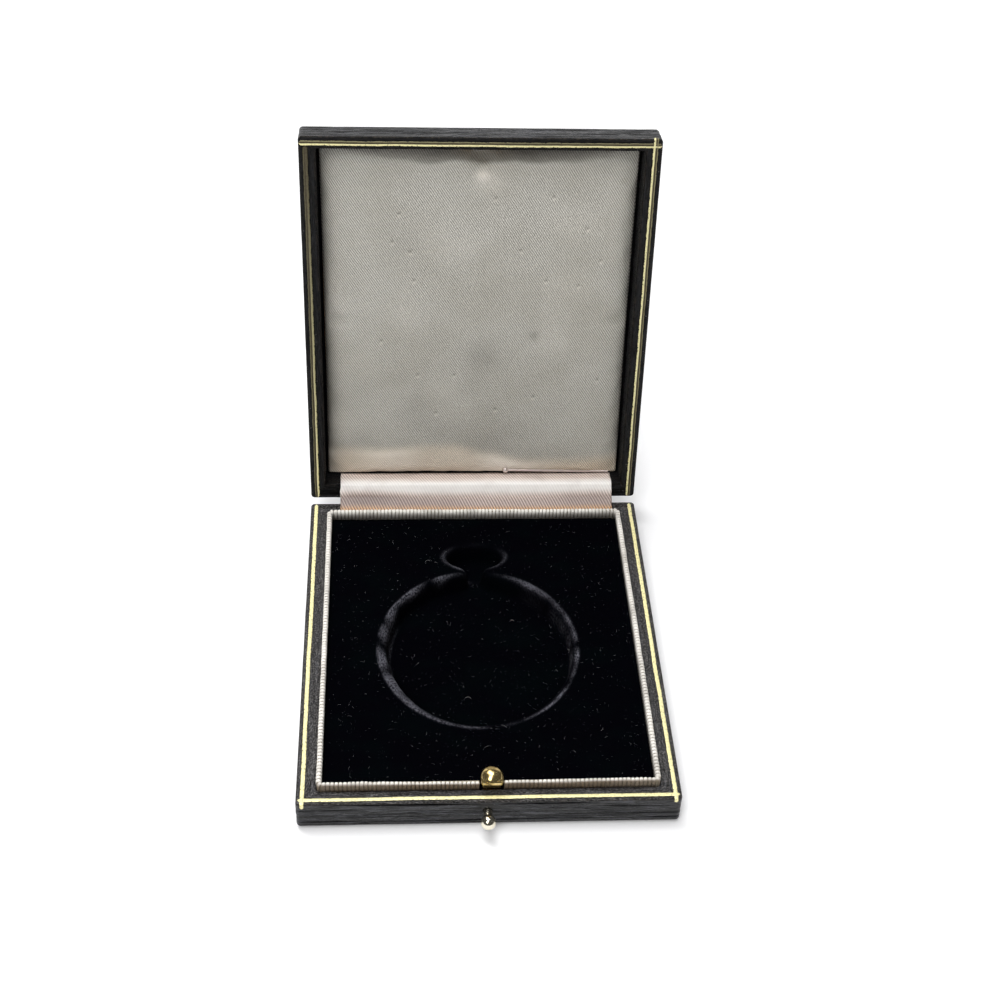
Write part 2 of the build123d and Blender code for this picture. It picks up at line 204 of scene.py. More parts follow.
def modify(piece, kind, **settings):
    modifier = piece.modifiers.new(kind.title(), kind)
    for key, value in settings.items():
        setattr(modifier, key, value)
    return modifier


def applied(piece):
    # the piece with its modifiers as a plain mesh, and the modifiers gone
    graph = bpy.context.evaluated_depsgraph_get()
    graph.update()
    shaped = piece.evaluated_get(graph)
    mesh = bpy.data.meshes.new_from_object(shaped, preserve_all_data_layers=True, depsgraph=graph)
    piece.modifiers.clear()
    if piece.type == "MESH":
        piece.data = mesh
        return piece
    name = piece.name
    bpy.data.objects.remove(piece)
    return linkObject(name, mesh)


def dress(piece, material):
    piece.data.materials.clear()
    piece.data.materials.append(material)


# ---- small helpers for node trees

class Wire:
    # a value in a node tree; arithmetic on it adds Math nodes
    def __init__(self, socket):
        self.socket = socket
        self.tree = socket.id_data

    def calc(self, operation, *others):
        return wire(self.tree, "ShaderNodeMath", dict(enumerate((self, *others))), operation=operation)

    def __add__(self, other):
        return self.calc("ADD", other)

    def __sub__(self, other):
        return self.calc("SUBTRACT", other)

    def __rsub__(self, other):
        return self.calc("MULTIPLY_ADD", -1.0, other)

    def __mul__(self, other):
        return self.calc("MULTIPLY", other)

    def __pow__(self, other):
        return self.calc("POWER", other)

    def __abs__(self):
        return self.calc("ABSOLUTE")

    def atLeast(self, other):
        return self.calc("MAXIMUM", other)

    def below(self, other):
        return self.calc("LESS_THAN", other)


def connect(node, inputs):
    for key, value in inputs.items():
        if isinstance(value, Wire):
            node.id_data.links.new(value.socket, node.inputs[key])
        else:
            node.inputs[key].default_value = value


def addNode(tree, kind, inputs=None, **settings):
    node = tree.nodes.new(kind)
    for key, value in settings.items():
        setattr(node, key, value)
    connect(node, inputs or {})
    return node


def wires(node, *keys):
    return [Wire(node.outputs[key]) for key in keys]


def wire(tree, kind, inputs=None, output=0, **settings):
    return Wire(addNode(tree, kind, inputs, **settings).outputs[output])


def ramp(value, low, high, start=0.0, end=1.0):
    kept = {"Value": value, "From Min": low, "From Max": high, "To Min": start, "To Max": end}
    return wire(value.tree, "ShaderNodeMapRange", kept, interpolation_type="SMOOTHSTEP")


def layered(shade, *layers):
    # a colour with others laid over it, each by its share
    for share, over in layers:
        shade = wire(share.tree, "ShaderNodeMix", {0: share, 6: shade, 7: over}, 2, data_type="RGBA")
    return shade


def noiseNode(vector, scale, detail=2.0, roughness=0.5, distortion=0.0):
    kept = {"Vector": vector, "Scale": scale, "Detail": detail, "Roughness": roughness,
            "Distortion": distortion}
    return wire(vector.tree, "ShaderNodeTexNoise", kept)


def stretched(vector, scale, turn=(0.0, 0.0, 0.0)):
    return wire(vector.tree, "ShaderNodeMapping", {"Vector": vector, "Scale": scale, "Rotation": turn})


def separate(vector):
    return wires(addNode(vector.tree, "ShaderNodeSeparateXYZ", {0: vector}), 0, 1, 2)


def place(tree, uv=False):
    # where a pattern is, in millimetres: from the piece's own map or from its object
    if uv:
        return wire(tree, "ShaderNodeTexCoord", output="UV")
    return stretched(wire(tree, "ShaderNodeTexCoord", output="Object"), (1000.0, 1000.0, 1000.0))


def markNode(tree, label):
    return wire(tree, "ShaderNodeAttribute", output="Fac", attribute_name=label)


def makeGroup(name, build, outputs, **floats):
    # a shader group with a vector input, these float inputs and these float outputs
    tree = bpy.data.node_groups.new(name, "ShaderNodeTree")
    tree.interface.new_socket("Vector", in_out="INPUT", socket_type="NodeSocketVector")
    for label, value in floats.items():
        socket = tree.interface.new_socket(label, in_out="INPUT", socket_type="NodeSocketFloat")
        socket.default_value = value
    for label in outputs:
        tree.interface.new_socket(label, in_out="OUTPUT", socket_type="NodeSocketFloat")
    results = build(*wires(addNode(tree, "NodeGroupInput"), "Vector", *floats))
    addNode(tree, "NodeGroupOutput", dict(zip(outputs, results)))
    return tree


def useGroup(group, vector, **values):
    node = addNode(vector.tree, "ShaderNodeGroup", {"Vector": vector, **values}, node_tree=group)
    return [Wire(socket) for socket in node.outputs]


def clearedTree(owner):
    owner.use_nodes = True
    owner.node_tree.nodes.clear()
    return owner.node_tree


def startMaterial(name, **constants):
    material = bpy.data.materials.new(name)
    tree = clearedTree(material)
    shader = addNode(tree, "ShaderNodeBsdfPrincipled",
                     {label.replace("_", " "): value for label, value in constants.items()})
    addNode(tree, "ShaderNodeOutputMaterial", {"Surface": Wire(shader.outputs[0])})
    return material, tree, shader


def paint(shader, base, roughness=None, height=None, relief=0.0, **others):
    # relief is the height of the bumps in millimetres
    inputs = {"Base Color": base, **{label.replace("_", " "): value for label, value in others.items()}}
    if roughness:
        inputs["Roughness"] = roughness
    if height:
        bumps = {"Height": height, "Distance": relief * mm, "Strength": 1.0}
        inputs["Normal"] = wire(shader.id_data, "ShaderNodeBump", bumps)
    connect(shader, inputs)


# ---- effects that several materials share

def grainEffect(vector, scale, creaseShare, pebbleShare):
    # crease is 1 on the raised leather and 0 down in the folds
    folds = noiseNode(stretched(vector, (0.055, 0.62, 1.0)), scale, 3.0, 0.5, 0.5)
    fine = noiseNode(stretched(vector, (0.28, 2.4, 1.0)), scale, 3.0, 0.6, 0.4)
    crease = ramp(abs(folds - 0.5), 0.0, 0.05) * ramp(abs(fine - 0.5), 0.0, 0.05, 0.45, 1.0)
    kept = {"Vector": stretched(vector, (1.5, 3.2, 1.0)), "Scale": scale}
    pores = wire(vector.tree, "ShaderNodeTexVoronoi", kept, "Distance", feature="SMOOTH_F1")
    pebble = 1 - pores * pebbleShare
    return crease * creaseShare + pebble * 0.35, crease


def twillEffect(vector, pitch, lean):
    # raised lines that slant across the cloth, each broken into threads
    slant = (sin(radians(57)), cos(radians(57)))
    level, rise = separate(vector)[:2]
    up = rise * lean
    across = level * slant[0] - up * slant[1]
    along = level * slant[1] + up * slant[0]
    turns = wire(vector.tree, "ShaderNodeMath", {0: 2 * pi, 1: pitch}, operation="DIVIDE")
    line = (across * turns + noiseNode(vector, 0.3) * 1.4).calc("SINE")
    bead = ((along + across * 0.5) * (turns * 1.35)).calc("SINE")
    weave = line * 0.46 + bead * 0.16
    tone = weave + 0.5 + (noiseNode(vector, 1.7) * 0.5 - 0.25)
    return weave, tone.calc("MINIMUM", 1.0).atLeast(0.0)


def handledEffect(vector, share):
    cloud = noiseNode(vector, 0.45, 4.0, 0.6)
    streaks = noiseNode(stretched(vector, (0.35, 6.0, 2.0), (0.3, 0.2, 0.6)), 1.4, 3.0, 0.7)
    scratch = ramp(streaks, 0.6, 0.72)
    spots = ramp(noiseNode(vector, 2.6, 3.0, 0.6), 0.58, 0.75)
    return ramp(cloud, 0.42, 0.7).atLeast(spots) * share, scratch, scratch * -0.5 + cloud


def fibreEffect(vector):
    one = noiseNode(stretched(vector, (0.6, 4.0, 1.5), (0.0, 0.0, 0.4)), 2.2, 4.0, 0.65)
    crossing = noiseNode(stretched(vector, (4.0, 0.6, 1.5), (0.0, 0.0, -0.3)), 2.2, 4.0, 0.65)
    return one.atLeast(crossing), noiseNode(vector, 0.12, 3.0)


def figureEffect(vector):
    # growth rings cut along the grain
    kept = {"Vector": stretched(vector, (0.02, 0.6, 0.6)), "Scale": 0.7, "Distortion": 3.5, "Detail": 3.0}
    rings = wire(vector.tree, "ShaderNodeTexWave", kept, "Fac", wave_type="RINGS", rings_direction="X")
    pores = noiseNode(stretched(vector, (0.25, 6.0, 6.0)), 1.2, 3.0, 0.7)
    return rings, ramp(pores, 0.5, 0.62)


def specksEffect(vector, scale, amount):
    cells = addNode(vector.tree, "ShaderNodeTexVoronoi", {"Vector": vector, "Scale": scale})
    distance, tint = wires(cells, "Distance", "Color")
    size, chance = wires(addNode(vector.tree, "ShaderNodeSeparateColor", {0: tint}), 0, 1)
    return (distance.below(size * 0.2) * chance.below(amount),)


grainGroup = makeGroup("longGrain", grainEffect, ("Height", "Crease"), Scale=1.0, Crease=1.0, Pebble=1.0)
twillGroup = makeGroup("satinTwill", twillEffect, ("Height", "Tone"), Pitch=0.55, Lean=1.0)
handledGroup = makeGroup("handledMetal", handledEffect, ("Tarnish", "Scratch", "Height"), Tarnish=0.5)
fibreGroup = makeGroup("pressedFibre", fibreEffect, ("Height", "Cloud"))
figureGroup = makeGroup("woodFigure", figureEffect, ("Rings", "Pores"))
specksGroup = makeGroup("fineSpecks", specksEffect, ("Mask",), Scale=1.0, Amount=0.1)


# ---- materials

def leatherBlack():
    look = palette(fold=(3, 3, 4), dark=(7, 7, 8), raised=(60, 61, 68), worn=(66, 58, 50),
                   pale=(120, 118, 116), rim=(118, 115, 114))
    material, tree, shader = startMaterial("leatherBlack")
    spot = place(tree, uv=True)
    height, crease = useGroup(grainGroup, spot, Scale=1.0, Crease=0.75, Pebble=1.0)
    specks = useGroup(specksGroup, spot, Scale=1.3, Amount=0.24)[0]
    polishAndSheen, wear, rim, deep = (markNode(tree, label) for label in ("grain", "wear", "rim", "fold"))
    streak = noiseNode(stretched(spot, (0.07, 1.5, 1.0)), 1.0, 3.0, 0.6)
    sheenStreaks = ramp(noiseNode(spot, 0.09, 3.0), 0.3, 0.7, 0.45, 1.0) * ramp(streak, 0.42, 0.6)
    rubbed = wear * ramp(noiseNode(spot, 0.9, 4.0, 0.7), 0.42, 0.66)
    # the base's rim is rubbed pale on the tops of its grain
    tops = ramp(noiseNode(stretched(spot, (1.0, 2.2, 1.0), (0.0, 0.0, 0.9)), 1.7, 3.0, 0.7), 0.46, 0.62)
    # painted highlight: the raised colour on the grain's long streaks stands in for sheen; painted shade: the
    # fold colour darkens the creases and the deep folds
    base = layered(look["dark"], (polishAndSheen * sheenStreaks, look["raised"]), ((1 - crease) * 0.9, look["fold"]),
                   (rubbed, look["worn"]), (specks * 0.5, look["pale"]),
                   (rim * (tops * 0.78 + 0.04), look["rim"]), (deep, look["fold"]))
    # the faces that hands polish shine; the rims stay dull
    shine = (polishAndSheen * 0.45 + 0.12) * (1 - deep)
    paint(shader, base, streak * 0.2 + (crease * -0.22 + 0.48), height, 0.4, Specular_IOR_Level=shine)
    return material


def giltFoil():
    look = palette(foil=(255, 246, 186), deep=(48, 38, 12), leather=(20, 16, 11))
    material, tree, shader = startMaterial("giltFoil", Specular_IOR_Level=0.5)
    spot = place(tree, uv=True)
    wear = noiseNode(stretched(spot, (1.0, 1.6, 1.0)), 1.6, 4.0, 0.7)
    across = abs(separate(spot)[1])
    rubbed = ramp(wear + markNode(tree, "rub") * 0.5, 0.62, 0.72)
    dull = markNode(tree, "dull") * ramp(wear, 0.35, 0.6, 1.0, 0.9)
    bright = (1 - dull.atLeast(ramp(wear, 0.5, 0.62, 0.0, 0.2))) ** 1.8
    base = layered(look["deep"], (bright, look["foil"]), (rubbed, look["leather"]))
    paint(shader, base, wear * 0.25 + (across * 0.1 + 0.28), wear, 0.05, Metallic=(1 - rubbed) * 0.2)
    return material


def satinIvory():
    look = palette(grey=(226, 223, 214), beige=(250, 226, 194), shade=(84, 80, 70), stain=(190, 184, 168),
                   gloss=(255, 247, 236))
    material, tree, shader = startMaterial("satinIvory", Specular_IOR_Level=0.5, Anisotropic=0.4)
    spot = place(tree, uv=True)
    height, tone = useGroup(twillGroup, spot, Pitch=0.55, Lean=1.0)
    cloud = ramp(noiseNode(spot, 0.05, 3.0), 0.3, 0.75, 0.0, 0.35)
    # painted shade from the shade mark and the twill's grooves, painted highlights from the shine mark, painted
    # warm light at the hinge end
    base = layered(look["grey"], (cloud, look["stain"]), (markNode(tree, "beige") * 0.75, look["beige"]),
                   (markNode(tree, "soil") * 0.8, look["shade"]), ((1 - tone) * 0.8, look["shade"]),
                   (markNode(tree, "shine"), look["gloss"]))
    paint(shader, base, tone * -0.2 + 0.52, height, 0.08)
    return material


def satinPink():
    look = palette(rose=(240, 218, 206), mauve=(154, 137, 131), tan=(226, 176, 124), cream=(252, 248, 244),
                   groove=(92, 75, 68))
    material, tree, shader = startMaterial("satinPink", Specular_IOR_Level=0.5, Anisotropic=0.4)
    spot = place(tree, uv=True)
    height, tone = useGroup(twillGroup, spot, Pitch=0.7, Lean=-0.75)
    mauve, tanned, cream = (markNode(tree, label) for label in ("mauve", "tan", "cream"))
    cloud = ramp(noiseNode(spot, 0.12, 3.0), 0.45, 0.8, 0.0, 0.3)
    grooves = (1 - tone) * 0.8 * ((1 - cream) * 0.85 + 0.15)
    # painted shade: mauve over the ribbon's lower part and in patches, dark in the twill's grooves; painted
    # highlight: a cream band across its middle
    base = layered(look["rose"], (mauve, look["mauve"]), (tanned, look["tan"]), (cream, look["cream"]),
                   (cloud, look["mauve"]), (grooves, look["groove"]))
    paint(shader, base, tone * -0.16 + 0.46, height, 0.045)
    return material


def velvetBlack():
    look = palette(pile=(2, 2, 5), brushed=(94, 94, 102), green=(2, 4, 6))
    material, tree, shader = startMaterial("velvetBlack", Specular_IOR_Level=0.01, Roughness=0.95)
    spot = place(tree)
    streaks = noiseNode(stretched(spot, (3.0, 1.1, 1.0), (0.0, 0.0, 0.4)), 1.6, 3.0, 0.75)
    sweep = noiseNode(stretched(spot, (0.6, 1.0, 1.0), (0.0, 0.0, 0.5)), 0.12, 3.0)
    # painted highlight: the grey on the pile round the wells' rims stands in for light; the specks in the same
    # grey are dust
    nap = markNode(tree, "nap") * ramp(streaks, 0.4, 0.6, 0.05, 1.0)
    specks = useGroup(specksGroup, spot, Scale=2.2, Amount=0.2)[0]
    base = layered(look["pile"], (ramp(sweep, 0.4, 0.7), look["green"]), (nap, look["brushed"]),
                   (specks * 0.14, look["brushed"]))
    paint(shader, base, height=noiseNode(spot, 3.0, 3.0, 0.7), relief=0.12)
    return material


def lintWhite():
    look = palette(dim=(56, 56, 62), pale=(170, 168, 168))
    material, tree, shader = startMaterial("lintWhite", Roughness=0.7)
    paint(shader, layered(look["dim"], (ramp(noiseNode(place(tree), 0.8), 0.35, 0.75), look["pale"])))
    return material


def ribbedRibbon():
    look = palette(cream=(244, 240, 233), groove=(120, 114, 106), grime=(104, 86, 66))
    material, tree, shader = startMaterial("ribbedRibbon", Specular_IOR_Level=0.4)
    spot = place(tree)
    thread = noiseNode(spot, 4.0, 3.0, 0.7)
    patches = ramp(noiseNode(spot, 0.16, 3.0), 0.4, 0.75, 0.0, 0.4)
    soiled = markNode(tree, "grime") * ramp(thread, 0.2, 0.7, 0.88, 1.0)
    # painted shade on the lip's lower and inner faces; patches in the same colour vary the tone
    base = layered(look["cream"], (patches, look["groove"]), (markNode(tree, "groove"), look["groove"]),
                   (soiled, look["grime"]))
    paint(shader, base, thread * 0.3 + 0.45, thread, 0.05)
    return material


def metal(name, bright, dull, rough, tarnish, relief=0.015):
    material, tree, shader = startMaterial(name, Metallic=1.0)
    tarnished, scratch, height = useGroup(handledGroup, place(tree), Tarnish=tarnish)
    paint(shader, layered(colour(*bright), (tarnished, colour(*dull))),
          scratch * 0.12 + (tarnished * 0.3 + rough), height, relief)
    return material


def pressedSheet(name, pale, dark, relief):
    material, tree, shader = startMaterial(name, Specular_IOR_Level=0.25)
    height, cloud = useGroup(fibreGroup, place(tree))
    base = layered(colour(*pale), (ramp(cloud, 0.35, 0.7), colour(*dark)),
                   (ramp(height, 0.5, 0.75, 0.0, 0.4), colour(*dark)))
    paint(shader, base, height * 0.2 + 0.7, height, relief)
    return material


def wood(name, pale, dark):
    material, tree, shader = startMaterial(name, Specular_IOR_Level=0.35)
    rings, pores = useGroup(figureGroup, place(tree))
    base = layered(colour(*pale), (rings, colour(*dark)), (pores * 0.4, colour(*dark)))
    paint(shader, base, rings * 0.1 + 0.6, pores, 0.03)
    return material


finish = {
    "leather_black": leatherBlack(),
    "gilt": giltFoil(),
    "card": pressedSheet("greyCard", (168, 158, 140), (120, 108, 90), 0.03),
    "paper_dark": pressedSheet("darkPaper", (38, 36, 36), (22, 20, 20), 0.04),
    "wood_case": wood("caseWood", (205, 172, 126), (150, 112, 70)),
    "wood_bed": wood("bedWood", (214, 190, 148), (176, 140, 96)),
    "ribbed_ribbon": ribbedRibbon(),
    "velvet_black": velvetBlack(),
    "satin_ivory": satinIvory(),
    "satin_pink": satinPink(),
    "wadding": pressedSheet("cottonWadding", (232, 228, 216), (200, 192, 174), 0.2),
    "brass": metal("polishedBrass", (232, 206, 142), (150, 116, 66), 0.18, 0.25),
    "brass_plain": metal("plainBrass", (206, 174, 104), (112, 84, 50), 0.3, 0.8),
    "spring_steel": metal("springSteel", (150, 150, 156), (70, 66, 66), 0.28, 0.6),
    "pin_steel": metal("pinSteel", (232, 230, 228), (150, 146, 142), 0.14, 0.35),
}
for item in frame["record"]["subparts"]:
    dress(nodes[item["node"]], finish[item["material_slot"]])
# the button's brass is rubbed paler than the catch's
dress(nodes["push_button"], metal("rubbedBrass", (224, 218, 200), (140, 128, 92), 0.13, 0.35))
# the dressmaker's pin is drawn wire, smooth along its length
dress(nodes["lining_pin"], metal("drawnWire", (236, 224, 220), (206, 192, 186), 0.34, 0.3, relief=0.0))
print("materials:", len(finish))


# ---- leather shells

def outline(halfX, front, back, radius, counts):
    # points round a rounded rectangle, anticlockwise from the back left corner
    countX, countY, countCorner = counts
    x, low, high = halfX - radius, front + radius, back - radius
    sides = (((-halfX, high), (-halfX, low), countY, (-x, low)), ((-x, front), (x, front), countX, (x, low)),
             ((halfX, low), (halfX, high), countY, (x, high)), ((x, back), (-x, back), countX, (-x, high)))
    points = []
    for number, (start, end, count, centre) in enumerate(sides):
        points += [between(start, end, step / count) for step in range(count)]
        for step in range(countCorner):
            angle = pi + (number + step / countCorner) * pi / 2
            points.append((centre[0] + radius * cos(angle), centre[1] + radius * sin(angle)))
    return np.array(points)


def insetRow(inset, height):
    half, deep = box["halfWidth"], box["halfDepth"]
    return (half - inset, inset - deep, deep - inset, max(box["cornerRound"] - inset, 0.0), height)


def addRow(rows, row, relief=0.0, wear=0.0, press=0.0):
    rows.append((row, relief, wear, press))


def shellMesh(name, rows, counts, wrapV, fullGrain=0.08):
    # each row is (halfX, front, back, radius, z), with how far it is raised, worn and pressed
    lines, *treatments = zip(*rows)
    layers = []
    for *flat, height in lines:
        line = outline(*flat, counts)
        layers.append(np.column_stack((line, np.full(len(line), height))))
    points = np.array(layers)
    outer = outline(box["halfWidth"], -box["halfDepth"], box["halfDepth"], box["cornerRound"], counts)
    along = distances(np.vstack((outer, outer[:1])))
    up = distances(points[:, counts[1] + counts[2] + counts[0] // 2])
    cols = points.shape[1]
    columns = [np.repeat(np.array(values)[:, None], cols, 1) for values in treatments]
    marks = dict(zip(("relief", "wear", "press"), columns))
    marks["grain"] = np.clip(marks["relief"] / fullGrain, 0, 1)
    marks["along"] = np.repeat(along[None, :-1], len(up), 0)
    marks["up"] = np.repeat(up[:, None], cols, 1)
    uv = np.stack(np.meshgrid(along, np.append(up, up[-1] + 1.0) if wrapV else up), -1)
    return gridMesh(name, points * mm, uv, wrapU=True, wrapV=wrapV, marks=marks)


def creaseHeight(u, v, seed):
    # long grain: shallow folds that run with u, a few of them deeper
    broad = noiseOn(u, v, (0.04, 0.55), seed)
    fine = noiseOn(u, v, (0.12, 1.35), seed + 1)
    return 0.4 * broad + 0.35 * fine - 0.9 * bell(broad, 0.07)


def pushGrain(mesh, seed, creases, leastRelief=0.06, blackDepth=0.12):
    # creases are (height, half width, depth) of the few long folds, which lie only where the grain is raised
    points = readPoints(mesh)
    along, up, relief = (readMark(mesh, label) for label in ("along", "up", "relief"))
    amount = relief * creaseHeight(along, up, seed) + readMark(mesh, "press")
    fold = np.zeros(len(points))
    for number, (height, wide, deep) in enumerate(creases):
        lane = np.full(len(along), number * 9.0)
        wander = 0.45 * noiseOn(along, lane, (0.035, 1.0), seed + 2)
        wander += 0.1 * noiseOn(along, lane, (0.25, 1.0), seed + 3)
        broken = np.clip(0.5 + 1.5 * noiseOn(along, lane, (0.05, 1.0), seed + 4), 0, 1)
        fold += deep * broken * bell(points[:, 2] / mm - height - wander, wide) * (relief > leastRelief)
    # the fold mark paints the deep creases black, as painted shade
    writeMark(mesh, "fold", np.clip(fold / blackDepth, 0, 1))
    writePoints(mesh, points + readNormals(mesh) * (amount - fold)[:, None] * mm)


def cutAway(piece, cutters):
    # boolean with blocks (centre, size) and rods (centre, radius, length along y), all in millimetres
    work = bmesh.new()
    for cutter in cutters:
        where = Matrix.Translation(Vector(cutter["centre"]) * mm)
        if "size" in cutter:
            scale = Matrix.Diagonal((*(Vector(cutter["size"]) * mm), 1))
            bmesh.ops.create_cube(work, size=1, matrix=where @ scale)
        else:
            radius, depth = cutter["radius"] * mm, cutter["length"] * mm
            bmesh.ops.create_cone(work, cap_ends=True, segments=32, radius1=radius, radius2=radius, depth=depth,
                                  matrix=where @ Matrix.Rotation(radians(90), 4, "X"))
    mesh = bpy.data.meshes.new("cutter")
    work.to_mesh(mesh)
    work.free()
    tool = linkObject("cutter", mesh)
    modify(piece, "BOOLEAN", operation="DIFFERENCE", solver="EXACT", object=tool)
    piece = applied(piece)
    bpy.data.objects.remove(tool)
    return piece


hingeMortises = {"centreX": 24.0, "width": 13.0, "depth": 3.4, "sheet": 0.7, "past": 1.0, "clear": 0.04}


def mortiseCutters(height):
    # blocks where the hinges' leaves lie, running out past the back
    spec = hingeMortises
    past, clear = spec["past"], spec["clear"]
    y = box["halfDepth"] + (past - spec["depth"]) / 2
    size = (spec["width"] + clear, spec["depth"] + past + clear, 2 * spec["sheet"] + clear)
    return [{"centre": (side * spec["centreX"], y, height), "size": size} for side in (-1, 1)]


baseLeather = {
    "step": 0.45, "corner": 8, "edge": 0.32, "innerEdge": 0.15, "margin": 9.0, "bottom": 0.3, "wallStep": 0.16,
    "sideRelief": 0.17, "rimRelief": 0.06, "rimParts": 18, "line": (1.5, 0.5), "press": -0.03, "seed": 3,
    "creases": ((8.35, 0.22, 0.22), (6.7, 0.14, 0.17), (5.4, 0.09, 0.1), (4.0, 0.11, 0.13), (2.4, 0.17, 0.17)),
    "bush": {"centre": (-0.5, -53.0, 5.8), "radius": 1.1, "length": 3.0},
}


def shellCounts(spec):
    # how many parts each side and each corner of a shell's outline is cut into
    sides = (round(2 * box[half] / spec["step"]) for half in ("halfWidth", "halfDepth"))
    return (*sides, spec["corner"])


def makeBaseLeather():
    spec = baseLeather
    edge, inner, foot, bottom = spec["edge"], spec["innerEdge"], box["baseEdgeRound"], spec["bottom"]
    top, skin, corner = box["baseTop"], box["leather"], box["trayCorner"]
    trayX, trayFront, trayBack = box["tray"]
    low, high = bottom + foot, top - edge
    rows = []
    add = partial(addRow, rows)

    def trayRow(out, height):
        return (trayX + out, trayFront - out, trayBack + out, corner + out, height)

    add(insetRow(spec["margin"], bottom))
    add(insetRow(foot + 2.0, bottom))
    add(insetRow(foot, bottom), 0.02, 0.4)
    for step, rise, flat in quarterTurn(6):
        add(insetRow(foot * (1 - rise), bottom + foot * (1 - flat)), 0.04, 0.8 - 0.1 * step)
    count = round((high - low) / spec["wallStep"])
    for step in range(1, count + 1):
        share = step / count
        worn = 0.5 * exp(-((high - low) * (1 - share) / 0.4) ** 2)
        add(insetRow(0.0, low + (high - low) * share), spec["sideRelief"] * (1 - 0.55 * share ** 6), worn)
    for step, rise, flat in quarterTurn(4):
        add(insetRow(edge * (1 - flat), high + edge * rise), 0.02, 0.9 - 0.12 * step)
    for step in range(1, spec["rimParts"] + 1):
        row = between(insetRow(edge, top), trayRow(inner, top), step / spec["rimParts"])
        inLine = abs(box["halfWidth"] - row[0] - spec["line"][0]) < spec["line"][1] + 0.1
        add(row, 0.0 if inLine else spec["rimRelief"], 0.12, spec["press"] if inLine else 0.0)
    for step, rise, flat in quarterTurn(3):
        add(trayRow(inner * (1 - rise), top - inner * (1 - flat)), 0.0, 0.3)
    # down the inner wall and back under the rails, where the leather is turned in
    add(trayRow(0.0, top - skin))
    turnedIn = ((skin, top - skin), (skin, low), (foot, bottom + skin), (spec["margin"], bottom + skin))
    for inset, height in turnedIn:
        add(insetRow(inset, height))
    mesh = shellMesh("baseLeather", rows, shellCounts(spec), wrapV=True)
    with editing(mesh) as work:
        weld(work, 2e-7)
    pushGrain(mesh, spec["seed"], spec["creases"])
    writeMark(mesh, "rim", smoothstep(-0.25, 0.0, readPoints(mesh)[:, 2] / mm - top))
    piece = cutAway(linkObject("baseLeather", mesh), [spec["bush"]] + mortiseCutters(top))
    dress(piece, finish["leather_black"])
    smoothShade(piece.data)
    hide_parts("base_leather_cover")
    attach(piece, "base")


lidLeather = {
    "step": 0.5, "corner": 8, "edge": 0.32, "rimEdge": 0.25, "sideRelief": 0.13, "topRelief": 0.08,
    "topEdgeRelief": 0.05, "innerStep": 0.35, "wallStep": 0.3, "rimParts": 17,
    "rimRelief": 0.014, "wallRelief": 0.02, "lines": (1.775, 0.62), "press": -0.03, "inner": 0.4, "turnIn": 0.7,
    "creases": ((10.3, 0.14, 0.16), (11.7, 0.1, 0.12), (12.9, 0.12, 0.15), (14.3, 0.1, 0.12),
                (15.6, 0.14, 0.14)),
    "seed": 11, "keeper": {"centre": (0.5, -50.9, 12.65), "size": (10.84, 2.6, 4.34)},
}


def lidTopPlate(counts):
    # the flat of the lid's top, grained as the sides are
    x, y = box["halfWidth"] - box["lidEdgeRound"], box["halfDepth"] - box["lidEdgeRound"]
    gridX, gridY = np.meshgrid(np.linspace(-x, x, counts[0] + 1), np.linspace(-y, y, counts[1] + 1))
    fromEdge = np.minimum(x - np.abs(gridX), y - np.abs(gridY))
    ones = np.ones_like(gridX)
    edgeRelief, relief = lidLeather["topEdgeRelief"], lidLeather["topRelief"]
    marks = {"grain": ones, "relief": edgeRelief + (relief - edgeRelief) * np.clip(fromEdge / 4, 0, 1),
             "wear": 0.3 * np.exp(-fromEdge / 1.5), "press": 0 * ones, "along": gridX + 300.0,
             "up": gridY * 0.9 + 200.0}
    points = np.stack((gridX, gridY, ones * box["lidTop"]), -1)
    return gridMesh("lidTop", points * mm, np.stack((gridX, gridY), -1), marks=marks)


